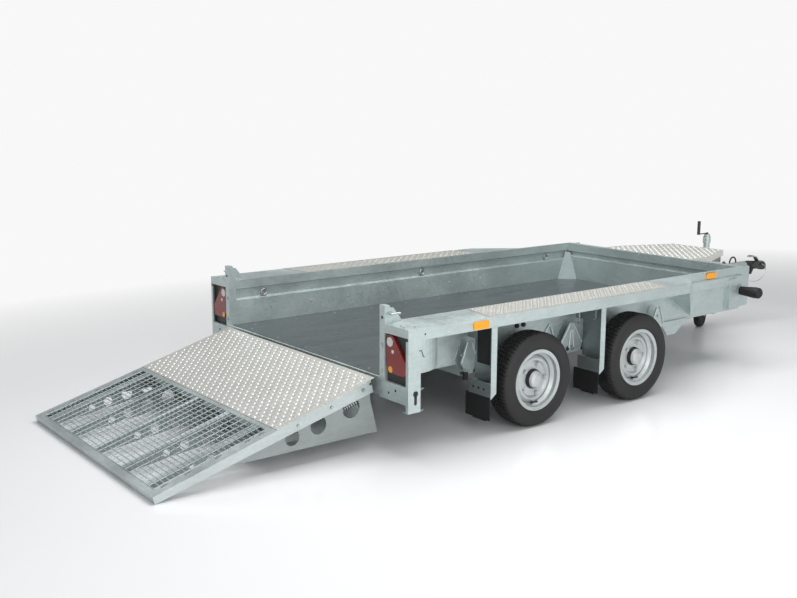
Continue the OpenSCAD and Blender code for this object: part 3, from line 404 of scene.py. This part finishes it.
LAMP_CLEAR = lens("lamp_clear", (0.70, 0.72, 0.72), 70.0)
LAMP_AMBER = amber_plastic("lamp_amber", (0.90, 0.36, 0.004))

SLOT_LOOKS = {
    "galvanised": GALVANISED, "tread_alloy": TREAD_ALLOY, "deck_board": DECK, "tyre": TYRE,
    "black_rubber": RUBBER, "black_plastic": PLASTIC, "lamp_red": LAMP_RED, "lamp_clear": LAMP_CLEAR,
    "lamp_amber": LAMP_AMBER, "zinc": ZINC, "black_metal": BLACK_METAL}
# Nodes whose look isn't their slot's
# The ramp's frame and mesh, the tread covers, the corner gussets and the mudguards take copies of their metal with
# painted shade
NODE_LOOKS = {
    "ramp_frame": RAMP_STEEL_SHADED, "ramp_mesh": RAMP_STEEL_SHADED, "tread_covers": BOARD_ALLOY_SHADED,
    "corner_gussets": SHADED_STEEL, "mudguard_left": PANEL_STEEL_SHADED, "mudguard_right": PANEL_STEEL_SHADED}
NODE_LOOKS.update({"wheel_" + w: WHEEL_SILVER for w in WHEELS})


def dress_nodes():
    """Gives every CAD node a look of its own or that of its slot."""
    slots = {s["node"]: s["material_slot"] for s in frame["record"]["subparts"]}
    for name, node in frame["nodes"].items():
        node.data.materials.clear()
        node.data.materials.append(NODE_LOOKS.get(name, SLOT_LOOKS[slots[name]]))


# Raised lugs of the tread plates. They start a little inside the plate.
LUG_PITCH = 0.0275
LUG_LENGTH, LUG_WIDTH, LUG_HEIGHT, LUG_SINK = 0.024, 0.0110, 0.0018, 0.0004
LUG_SIDES, LUG_TAPER = 8, 0.6
LUG_TURN = math.radians(45)
TREAD_MARGIN = 0.014


def add_lug(shape, x, y, z, turn, place):
    """One raised oval of the tread pattern."""
    angles = [2 * math.pi * (k + 0.5) / LUG_SIDES for k in range(LUG_SIDES)]
    outline = [(LUG_LENGTH / 2 * math.cos(a), LUG_WIDTH / 2 * math.sin(a)) for a in angles]
    spot = place @ Matrix.Translation((x, y, z)) @ Matrix.Rotation(turn, 4, "Z")
    shape.prism(outline, -LUG_SINK, LUG_HEIGHT, spot, LUG_TAPER)


def tread_pattern(name, body, x0, x1, inside, z, place, highlit_look, shaded_look):
    """Lugs in a square grid whose direction alternates; inside(x, y) says where the plate is.

    Painted light: the lugs that turn one way take the brighter look, standing in for the light they catch, and the
    others the darker one.
    """
    painted_highlight, wear_and_shade = Shape(), Shape()
    rows = int((x1 - x0) / LUG_PITCH)
    half = int(1.0 / LUG_PITCH)
    for i in range(rows + 1):
        for k in range(-half, half + 1):
            x, y = x0 + i * LUG_PITCH, k * LUG_PITCH
            if not inside(x, y):
                continue
            # Painted highlight on the lugs that turn one way, painted shade on the others
            if (i + k) % 2:
                add_lug(painted_highlight, x, y, z, LUG_TURN, place)
            else:
                add_lug(wear_and_shade, x, y, z, -LUG_TURN, place)
    painted_highlight.piece(name + "_polished", highlit_look, body, "tread_alloy")
    wear_and_shade.piece(name + "_worn", shaded_look, body, "tread_alloy")


def make_ramp_tread():
    """Lugs on the plate that covers the ramp from its hinge to the mesh."""
    side_gap, front = 0.004, 0.020
    half = RAMP_HALF - side_gap - TREAD_MARGIN
    # Near-white lugs with a painted highlight, and mid-tone lugs with painted shade
    tread_pattern("ramp_lugs", "ramp", -TREAD_LENGTH + TREAD_MARGIN, front,
                  lambda x, y: abs(y) < half, PLATE_TOP, ON_RAMP, HIGHLIGHT_LUG, MID_LIGHT_LUG)


def make_board_tread():
    """Lugs on the covers of the running boards, whose ends slant forward towards the wall."""
    low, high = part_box("tread_covers")
    slant = 0.055
    rear, front = low.x, high.x - slant
    inner, outer = DECK_EDGE + 0.004, HALF_OUT - 0.001

    def on_cover(x, y):
        lean = slant * (outer - abs(y)) / (outer - inner)
        return inner + TREAD_MARGIN < abs(y) < outer - TREAD_MARGIN \
            and rear + lean + TREAD_MARGIN < x < front + lean - TREAD_MARGIN

    # Mid-tone lugs with a painted highlight, and darker lugs with painted shade
    tread_pattern("board_lugs", "trailer", rear + TREAD_MARGIN, high.x, on_cover, high.z,
                  Matrix.Identity(4), MID_LIGHT_LUG, BOARD_LUG_SHADED)


def make_rest_tread():
    """Lugs on the bucket rest, which narrows ahead of its straight part."""
    low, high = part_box("bucket_rest")
    bend = low.x + 0.180
    rear_half, front_half = high.y - 0.018, 0.229

    def on_rest(x, y):
        t = min(max((x - bend) / (high.x - bend), 0.0), 1.0)
        half = rear_half + (front_half - rear_half) * t
        return abs(y) < half - TREAD_MARGIN and x < high.x - TREAD_MARGIN

    tread_pattern("rest_lugs", "trailer", low.x + TREAD_MARGIN, high.x, on_rest, high.z,
                  Matrix.Identity(4), TREAD_ALLOY, TREAD_ALLOY)


def make_ramp_grid():
    """Welded mesh of the ramp: close wires across it, wider ones along it, in place of the coarse solid."""
    wire_r, wire_sides = 0.0025, 6
    across_pitch, along_pitch = 0.0262, 0.0525
    rear_lip, front_strip, side_rim = 0.036, 0.025, 0.065
    rear, front = -RAMP_REACH + rear_lip, -TREAD_LENGTH - front_strip
    half = RAMP_HALF - side_rim
    edge = 0.002
    grid = Shape()

    def add_wire(start, end):
        grid.bar(ON_RAMP @ Vector(start), ON_RAMP @ Vector(end), wire_r, wire_sides)

    z = PLATE_TOP - wire_r
    count = int((front - rear) / across_pitch)
    for i in range(count + 1):
        x = rear + edge + (front - rear - 2 * edge) * i / count
        add_wire((x, -half, z), (x, half, z))
    z = PLATE_TOP - 1.1 * wire_r
    count = int(2 * half / along_pitch)
    for k in range(count + 1):
        y = -half + 2 * half * k / count
        add_wire((rear, y, z), (front, y, z))
    made = grid.piece("ramp_grid", GRID_STEEL, "ramp", "galvanised", 40)
    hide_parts("ramp_mesh")


# Half section of the tyre, out over the tread and shoulder to the bead and back inside.
# Rows are (radius, distance from the middle plane).
TYRE_R, GROOVE_R = 0.261, 0.254
TREAD = [(TYRE_R, 0.0), (TYRE_R, 0.0115), (GROOVE_R, 0.0125), (GROOVE_R, 0.0185), (TYRE_R, 0.0195),
         (TYRE_R, 0.0325), (GROOVE_R, 0.0335), (GROOVE_R, 0.0385), (TYRE_R - 0.0002, 0.0395)]
SHOULDER = [(0.2606, 0.0400), (0.2600, 0.0480), (0.2572, 0.0565), (0.2520, 0.0640), (0.2450, 0.0700),
            (0.2360, 0.0745), (0.2240, 0.0772), (0.2120, 0.0775), (0.2000, 0.0765), (0.1900, 0.0745),
            (0.1845, 0.0730), (0.1835, 0.0712), (0.1780, 0.0700), (0.1720, 0.0640), (0.1690, 0.0610),
            (0.1600, 0.0603), (0.1545, 0.0600)]
LINING = [(0.1545, 0.0500), (0.1720, 0.0500), (0.2270, 0.0655), (0.2430, 0.0400)]
LINING_MIDDLE = (0.2450, 0.0)
# Rows of the section that the cross cuts reach, in ribs and shoulder
CUT_ROWS = {0, 1, 4, 5, 8, 9, 10, 11}
CUT_DEPTH, CUT_EVERY = 0.0055, 4
# The cuts lean by this angle at this distance from the middle
CUT_LEAN, LEAN_AT = 0.035, 0.06
TYRE_STEPS = 288


def make_tyre(wheel, side):
    """Tyre with four grooves, cross cuts in its ribs and shoulder blocks, closed to its bead."""
    centre = Vector(joints[wheel + "_spin"]["pos_m"])
    half = [(r, d, i in CUT_ROWS) for i, (r, d) in enumerate(TREAD + SHOULDER + LINING)]
    mirrored = [(r, -d, cut) for r, d, cut in reversed(half[1:])]
    section = mirrored + half + [(*LINING_MIDDLE, False)]
    n = len(section)
    points, faces = [], []
    for k in range(TYRE_STEPS):
        after = (k + 1) % TYRE_STEPS
        for radius, distance, cut in section:
            angle = 2 * math.pi * k / TYRE_STEPS + (CUT_LEAN * distance / LEAN_AT if cut else 0.0)
            if cut and k % CUT_EVERY == 0:
                radius -= CUT_DEPTH
            points.append((radius * math.cos(angle), radius * math.sin(angle), distance))
        for i in range(n):
            j = (i + 1) % n
            faces.append([k * n + i, after * n + i, after * n + j, k * n + j])
    tyre = Shape()
    tyre.add(points, faces, Matrix.Translation(centre) @ Matrix.Rotation(-side * math.pi / 2, 4, "X"))
    made = tyre.piece("tyre_" + wheel + "_skin", TYRE, "wheel_" + wheel + "_body", "tyre", 32)
    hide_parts("tyre_" + wheel)


def make_wheel_trim(wheel, side):
    """Black ring round the hub cap, and the valve in the rim's well."""
    centre = Vector(joints[wheel + "_spin"]["pos_m"])
    place = Matrix.Translation(centre) @ Matrix.Rotation(-side * math.pi / 2, 4, "X")
    body = "wheel_" + wheel + "_body"
    # Rows are (radius, height)
    ring_rows = [(0.0484, 0.0225), (0.0560, 0.0225), (0.0552, 0.0300), (0.0500, 0.0440), (0.0484, 0.0440),
                 (0.0484, 0.0225)]
    valve_rows = [(0, 0.0), (0.0075, 0.0), (0.0070, 0.006), (0.0045, 0.012), (0.0042, 0.034),
                  (0.0050, 0.036), (0.0050, 0.044), (0, 0.045)]
    valve_turn, valve_lean = math.radians(-95), math.radians(-20)
    valve_place = Matrix.Rotation(valve_turn, 4, "Z") @ Matrix.Translation((0.132, 0, 0.030)) \
        @ Matrix.Rotation(valve_lean, 4, "Y")
    ring, valve = Shape(), Shape()
    ring.lathe(ring_rows, place, 48)
    ring.piece("hub_ring_" + wheel, PLASTIC, body, "black_plastic", 40)
    valve.lathe(valve_rows, place @ valve_place, 16)
    valve.piece("valve_" + wheel, RUBBER, body, "black_rubber", 40)


def add_bolt(shape, place, radius, height):
    """A hexagonal head on a washer, its axis along z."""
    washer_t = height * 0.3
    washer = [(0, 0), (radius * 1.5, 0), (radius * 1.5, washer_t), (radius * 1.1, washer_t)]
    shape.lathe(washer, place, 16)
    shape.prism(circle(radius, 6), height * 0.25, height, place, 0.92)


def add_rivet(shape, place, radius=0.006, height=0.003):
    """A domed head that starts a little inside its plate."""
    sink = 0.0005
    dome = [(0, -sink), (radius, -sink), (radius, height * 0.3), (radius * 0.75, height * 0.8), (0, height)]
    shape.lathe(dome, place, 12)


def facing(point, axis):
    """A place at a point whose z axis looks along the given direction."""
    return Matrix.Translation(point) @ Vector(axis).to_track_quat("Z", "Y").to_matrix().to_4x4()


REARWARD, UPWARD = (-1, 0, 0), (0, 0, 1)


def make_fastenings():
    """Rivets of the walls, deck and boards, and bolts of the posts and the suspension."""
    bolts, ramp_bolts = Shape(), Shape()
    deck_y, deck_rivet_r, deck_rivet_h = 0.700, 0.007, 0.0015
    # Rows are distance ahead of the bed's rear and height
    hanger_bolts = ((0.475, 0.475), (0.500, 0.430), (1.350, 0.350), (1.325, 0.400), (2.126, 0.440))
    for side in SIDES:
        for x in spaced(0.30, 0.30, 9):
            add_rivet(bolts, facing(bed(x, side * WALL_IN, 0.470), (0, -side, 0)))
        for x in spaced(0.14, 0.30, 10):
            add_rivet(bolts, facing(bed(x, side * deck_y, DECK_Z), UPWARD), deck_rivet_r, deck_rivet_h)
        for x in (0.12, 0.32):
            add_rivet(bolts, facing(bed(x, side * 0.85, WALL_TOP), UPWARD), 0.005, 0.002)
        for z in (0.31, 0.42, 0.55):
            add_bolt(bolts, facing(bed(0.0, side * POST_Y, z), REARWARD), 0.007, 0.005)
        for x, z in hanger_bolts:
            add_bolt(bolts, facing(bed(x, side * HANGER_Y, z), (0, side, 0)), 0.007, 0.006)
    for y in spaced(-0.6, 0.3, 5):
        for x in (0.06, 3.00):
            add_rivet(bolts, facing(bed(x, y, DECK_Z), UPWARD), deck_rivet_r, deck_rivet_h)
    bolts.piece("fastenings", ZINC, "trailer", "zinc", 30)
    for side in SIDES:
        for x in (-0.05, -0.25, -0.45):
            place = ON_RAMP @ facing((x, side * RAMP_HALF, -0.012), (0, side, 0))
            add_bolt(ramp_bolts, place, 0.007, 0.005)
    ramp_bolts.piece("ramp_bolts", ZINC, "ramp", "zinc", 30)


def make_hanger_edges():
    """Folded edges down both legs of every hanger, and the bracket that stands behind the rear tyre."""
    top = HANGER_TOP - 0.003
    # Each leg is its upper and its lower end, as distance ahead of the bed's rear and height
    legs = [((x + turn * 0.015, top), (x + turn * 0.056, EYE_Z + 0.045))
            for x in END_HANGERS for turn in SIDES]
    for turn, eye in zip(SIDES, MID_EYES):
        legs.append(((MID_X + turn * 0.013, top), (eye + turn * 0.030, EYE_Z + 0.034)))
        legs.append(((MID_X + turn * 0.006, HANGER_TOP - 0.040), (MID_X + turn * 0.020, EYE_Z + 0.010)))
    bracket = [((1.211, 0.498), (1.164, 0.440)), ((1.211, 0.498), (1.243, 0.432))]
    edges = Shape()
    for side in SIDES:
        for y, rows in ((side * (HANGER_Y + 0.002), legs), (side * (WALL_OUT + 0.005), bracket)):
            for (x0, z0), (x1, z1) in rows:
                edges.bar(bed(x0, y, z0), bed(x1, y, z1), 0.005)
    edges.piece("hanger_edges", GALVANISED, "trailer", "galvanised", 40)


def make_bump_stops():
    """Ribbed rubber stops beside the rear hangers, and the two round buffers over each rear wheel."""
    holders, stops = Shape(), Shape()
    wide, narrow, pitch = 0.0150, 0.0105, 0.012
    # Rows are (radius, height) of four folds, one above the other
    discs = [(0, 0)]
    for z in spaced(0, pitch, 4):
        discs += [(wide, z), (wide, z + 0.008), (narrow, z + 0.009), (narrow, z + 0.0115)]
    discs += [(0, 0.0475)]
    for side in SIDES:
        stops.lathe(discs, Matrix.Translation(bed(0.508, side * (HANGER_Y + 0.017), 0.301)), 20)
        for x in (0.946, 0.997):
            stops.disc(facing(bed(x, side * 0.7758, 0.524), (0, side, 0)), 0.013, 0.012)
    holders.both_boxes((0.490, 0.527), (HANGER_Y, HANGER_Y + 0.034), (0.3485, 0.3525))
    holders.both_boxes((0.928, 1.014), (WALL_OUT + 0.0001, WALL_OUT + 0.0031), (0.474, 0.540))
    holders.piece("stop_plates", GALVANISED, "trailer", "galvanised", 40)
    stops.piece("bump_stops", RUBBER, "trailer", "black_rubber", 40)


def make_wheel_guards():
    """Wide rubber flaps over the flap cores, and a black rubber sheet on the rear face of the first panel that
    paints its shade.
    """
    flaps, shade_sheet = Shape(), Shape()
    for x in FLAP_XS:
        flaps.both_boxes((x - 0.0372, x - 0.0340), (0.800, 0.988), (0.098, 0.2245))
    # Painted shade: a black sheet on the rear face of the first panel
    face = FLAP_XS[0] - PANEL_T
    shade_sheet.both_boxes((face - 0.0025, face), (0.852, 0.950), (0.386, 0.596))
    flaps.piece("flap_sheets", RUBBER, "trailer", "black_rubber")
    shade_sheet.piece("painted_shade_sheets", RUBBER, "trailer", "black_rubber")


def make_hole_shades():
    """Punched holes shown as thin black discs that paint the shade inside them, and the clips that hold the ramp's
    mesh.
    """
    hole_shades, clips = Shape(), Shape()
    thin = 0.0006
    # Rows are distance from the middle, height and radius
    rear_holes = ((POST_Y, 0.690, 0.008), (0.900, 0.338, 0.007), (0.846, 0.318, 0.006))
    # Rows are distance ahead of the bed's rear, distance from the middle and radius
    top_holes = ((0.020, 0.940, 0.006), (0.032, 0.900, 0.006), (0.075, 0.955, 0.006))
    # Bent slot of the outer post, as distance ahead of the bed's rear and height
    slot = [(0.069, 0.547), (0.074, 0.551), (0.081, 0.550), (0.087, 0.538), (0.093, 0.522), (0.100, 0.515)]
    for side in SIDES:
        outward = (0, side, 0)
        for y, z, r in rear_holes:
            hole_shades.disc(facing(bed(0.0, side * y, z), REARWARD), r, thin)
        for x, y, r in top_holes:
            hole_shades.disc(facing(bed(x, side * y, WALL_TOP), UPWARD), r, thin)
        hole_shades.disc(facing(bed(0.105, side * HALF_OUT, 0.628), outward), 0.005, thin)
        for x in (1.312, 1.352):
            hole_shades.disc(facing(bed(x, side * HANGER_Y, 0.350), outward), 0.014, 0.0012)
        hole_shades.sweep([bed(x, side * (HALF_OUT - 0.0012), z) for x, z in slot], 0.0026, 8)
        for y in (0.862, 0.904, 0.944):
            hole_shades.disc(facing(bed(FLAP_XS[0] - 0.040, side * y, 0.262), REARWARD), 0.007, 0.0010)
    # The black discs and the bent slot are painted shade in the holes
    hole_shades.piece("hole_shade_discs", RUBBER, "trailer", "black_rubber", 40)
    clip_y, half_x, half_y = 0.712, 0.016, 0.007
    clip_low, clip_high = PLATE_UNDER - 0.0005, PLATE_TOP
    for side in SIDES:
        y = side * clip_y
        for x in (-0.62, -0.70, -0.86, -1.02, -1.14):
            clips.box((x - half_x, y - half_y, clip_low), (x + half_x, y + half_y, clip_high), ON_RAMP)
    clips.piece("mesh_clips", ZINC, "ramp", "zinc")


def make_lamp_windows():
    """Orange and clear windows moulded in the tail lamps."""
    orange, clear = Shape(), Shape()
    lamp_x, thin = 0.0045, 0.0012
    for side in SIDES:
        orange.disc(facing(bed(lamp_x, side * 0.853, 0.437), REARWARD), 0.017, thin)
        clear.disc(facing(bed(lamp_x, side * 0.872, 0.530), REARWARD), 0.010, thin)
    orange.piece("lamp_windows_orange", LAMP_AMBER, "trailer", "lamp_amber", 40)
    clear.piece("lamp_windows_clear", LAMP_CLEAR, "trailer", "lamp_clear", 40)


# Assist springs under the ramp, in the ramp's own frame
COIL_START, COIL_PITCH, COIL_TURNS = -0.200, 0.015, 9
COIL_Y, COIL_Z, COIL_R, WIRE_R = 0.706, -0.072, 0.0185, 0.0035


def make_ramp_coils():
    """Wound wire in place of the stacked rings of the CAD springs."""
    coils = Shape()
    turn_steps = 14
    steps = COIL_TURNS * turn_steps
    run = COIL_PITCH * COIL_TURNS - 2 * WIRE_R
    for side in SIDES:
        path = []
        for k in range(steps + 1):
            a = 2 * math.pi * k / turn_steps
            x = COIL_START + WIRE_R + run * k / steps
            y = side * COIL_Y + COIL_R * math.cos(a)
            path.append(ON_RAMP @ Vector((x, y, COIL_Z + COIL_R * math.sin(a))))
        coils.sweep(path, WIRE_R, 6)
    made = coils.piece("ramp_coils", ZINC, "ramp", "zinc", 50)
    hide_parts("ramp_springs")


def make_rope_hooks():
    """Bent round bar hooks on the walls under the running boards: out of the wall, then up."""
    hooks = Shape()
    low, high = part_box("rope_hooks")
    bar_r, reach, steps = 0.0045, 0.018, 12
    foot, rise = low.z - 0.014, high.z - low.z + 0.020
    for side in SIDES:
        for x in (low.x - BED_X + 0.004, high.x - BED_X - 0.004):
            path = []
            for k in range(steps + 1):
                t = k / steps
                out = reach * math.sin(min(t * 2.4, 1.0) * math.pi / 2)
                up = rise * max(0.0, (t - 0.25) / 0.75) ** 0.9
                path.append(bed(x, side * (WALL_OUT + bar_r + out), foot + up))
            hooks.sweep(path, bar_r, 8)
    made = hooks.piece("bent_hooks", ZINC, "trailer", "galvanised", 50)
    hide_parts("rope_hooks")


def make_panel_hooks():
    """Bent rods on the rear face of the second panel on each side."""
    hooks = Shape()
    face = FLAP_XS[1] - PANEL_T
    # Rows are distance from the middle, height of the top, height of the bend
    for y, top, low in ((0.812, 0.552, 0.487), (0.935, 0.584, 0.525)):
        profile = [(0.001, top), (-0.008, top), (-0.011, top - 0.006), (-0.011, low + 0.012),
                   (-0.014, low + 0.004), (-0.022, low), (-0.030, low + 0.005)]
        for side in SIDES:
            hooks.sweep([bed(face + along, side * y, z) for along, z in profile], 0.004, 8)
    hooks.piece("panel_hooks", ZINC, "trailer", "galvanised", 50)


# Route of the breakaway cable, as in the part's source
CABLE_ROUTE = [
    (4.510, -0.038, 0.455), (4.511, -0.050, 0.454), (4.513, -0.062, 0.448), (4.513, -0.072, 0.435),
    (4.508, -0.078, 0.416), (4.496, -0.081, 0.394), (4.478, -0.082, 0.372), (4.454, -0.081, 0.353),
    (4.426, -0.079, 0.339), (4.396, -0.076, 0.332), (4.366, -0.072, 0.330), (4.340, -0.067, 0.332),
    (4.318, -0.062, 0.336), (4.304, -0.057, 0.340), (4.298, -0.052, 0.342)]
CABLE_DIAMETER = 0.004


def make_breakaway_cable():
    """Thin wire from the lug on the coupling head down and back to the drawbar's side."""
    points = [bed(*p) for p in CABLE_ROUTE]
    curve = bpy.data.curves.new("breakaway_wire", "CURVE")
    curve.dimensions = "3D"
    curve.bevel_depth = CABLE_DIAMETER / 2
    curve.bevel_resolution = 3
    curve.use_fill_caps = True
    spline = curve.splines.new("POLY")
    spline.points.add(len(points) - 1)
    for spot, p in zip(spline.points, points):
        spot.co = (*p, 1)
    wire = bpy.data.objects.new("breakaway_wire", curve)
    bpy.context.scene.collection.objects.link(wire)
    curve.materials.append(ZINC)
    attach(wire, "trailer")
    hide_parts("breakaway_cable")


def make_camera():
    """The view of the photograph."""
    yaw, pitch, roll = (math.radians(a) for a in (CAMERA_YAW, CAMERA_PITCH, CAMERA_ROLL))
    ahead = Vector((math.cos(pitch) * math.cos(yaw), math.cos(pitch) * math.sin(yaw), math.sin(pitch)))
    level = Vector((math.sin(yaw), -math.cos(yaw), 0))
    upward = level.cross(ahead)
    right = level * math.cos(roll) + upward * math.sin(roll)
    top = upward * math.cos(roll) - level * math.sin(roll)
    data = bpy.data.cameras.new("photo_view")
    data.sensor_width = SENSOR
    data.lens = FOCAL_PX / PHOTO_WIDTH * SENSOR
    data.clip_end = 200
    camera = bpy.data.objects.new("photo_view", data)
    bpy.context.scene.collection.objects.link(camera)
    turn = Matrix((right, top, -ahead)).transposed()
    camera.matrix_world = Matrix.Translation(bed(*CAMERA_PLACE)) @ turn.to_4x4()
    bpy.context.scene.camera = camera


# Strength of the white that the floor fades to and that lies behind it
BACK_WHITE = 0.94


def make_stage():
    """Pale, slightly glossy floor that fades to white with distance."""
    size = 30.0
    fade_start, fade_end = 2.1, 4.6
    flatten = (0.58, 1.0, 1.0)
    mesh = bpy.data.meshes.new("floor")
    corners = [(-size, -size, 0), (size, -size, 0), (size, size, 0), (-size, size, 0)]
    mesh.from_pydata(corners, [], [[0, 1, 2, 3]])
    floor = bpy.data.objects.new("floor", mesh)
    bpy.context.scene.collection.objects.link(floor)
    look = Look("floor_white", (0.86, 0.865, 0.87), 0.0, 0.16)
    look.shader.inputs["Specular IOR Level"].default_value = 0.35
    distance = look.node("ShaderNodeVectorMath", {"operation": "LENGTH"})
    look.links.new(look.stretched(flatten), distance.inputs[0])
    far = look.between(distance.outputs["Value"], 0.0, 1.0, fade_start, fade_end)
    glow = look.node("ShaderNodeEmission", Color=(1, 1, 1, 1), Strength=BACK_WHITE)
    mix = look.node("ShaderNodeMixShader", Fac=far)
    look.links.new(look.shader.outputs["BSDF"], mix.inputs[1])
    look.links.new(glow.outputs["Emission"], mix.inputs[2])
    look.links.new(mix.outputs["Shader"], look.nodes["Material Output"].inputs["Surface"])
    mesh.materials.append(look.material)


def make_light():
    """Soft studio light: a pale world that looks white to the camera and through glass, and four panels."""
    world = bpy.data.worlds.new("studio")
    bpy.context.scene.world = world
    world.use_nodes = True
    nodes, links = world.node_tree.nodes, world.node_tree.links
    back = nodes["Background"]
    back.inputs["Color"].default_value = (0.96, 0.98, 1.0, 1)
    back.inputs["Strength"].default_value = 0.30
    white = nodes.new("ShaderNodeBackground")
    white.inputs["Color"].default_value = (1, 1, 1, 1)
    white.inputs["Strength"].default_value = BACK_WHITE
    path = nodes.new("ShaderNodeLightPath")
    seen = nodes.new("ShaderNodeMath")
    seen.operation = "MAXIMUM"
    links.new(path.outputs["Is Camera Ray"], seen.inputs[0])
    links.new(path.outputs["Is Transmission Ray"], seen.inputs[1])
    mix = nodes.new("ShaderNodeMixShader")
    links.new(seen.outputs["Value"], mix.inputs[0])
    links.new(back.outputs["Background"], mix.inputs[1])
    links.new(white.outputs["Background"], mix.inputs[2])
    links.new(mix.outputs["Shader"], nodes["World Output"].inputs["Surface"])
    # Rows are name, place in the bed's frame, aim, side of the panel, power
    panels = (("overhead", (1.5, -0.5, 5.0), (1.5, 0.0, 0.3), 5.0, 300.0),
              ("camera_side", (-2.5, -6.0, 3.2), (1.2, 0.0, 0.4), 4.0, 150.0),
              ("side", (1.4, -6.5, 1.2), (1.4, 0.0, 0.5), 4.0, 110.0),
              ("rear", (-5.0, 1.0, 3.0), (0.5, 0.0, 0.4), 3.0, 12.0))
    for name, place, aim, side, power in panels:
        data = bpy.data.lights.new(name, "AREA")
        data.size = side
        data.energy = power
        lamp = bpy.data.objects.new(name, data)
        bpy.context.scene.collection.objects.link(lamp)
        lamp.location = bed(*place)
        lamp.rotation_euler = (bed(*aim) - bed(*place)).to_track_quat("-Z", "Y").to_euler()


make_camera()
make_breakaway_cable()
dress_nodes()
make_ramp_tread()
make_board_tread()
make_rest_tread()
make_ramp_grid()
for wheel_name, wheel_side in WHEELS.items():
    make_tyre(wheel_name, wheel_side)
    make_wheel_trim(wheel_name, wheel_side)
make_fastenings()
make_hanger_edges()
make_bump_stops()
make_wheel_guards()
make_hole_shades()
make_lamp_windows()
make_ramp_coils()
make_rope_hooks()
make_panel_hooks()
make_stage()
make_light()
bpy.context.scene.view_settings.view_transform = "Standard"

bpy.context.view_layer.update()
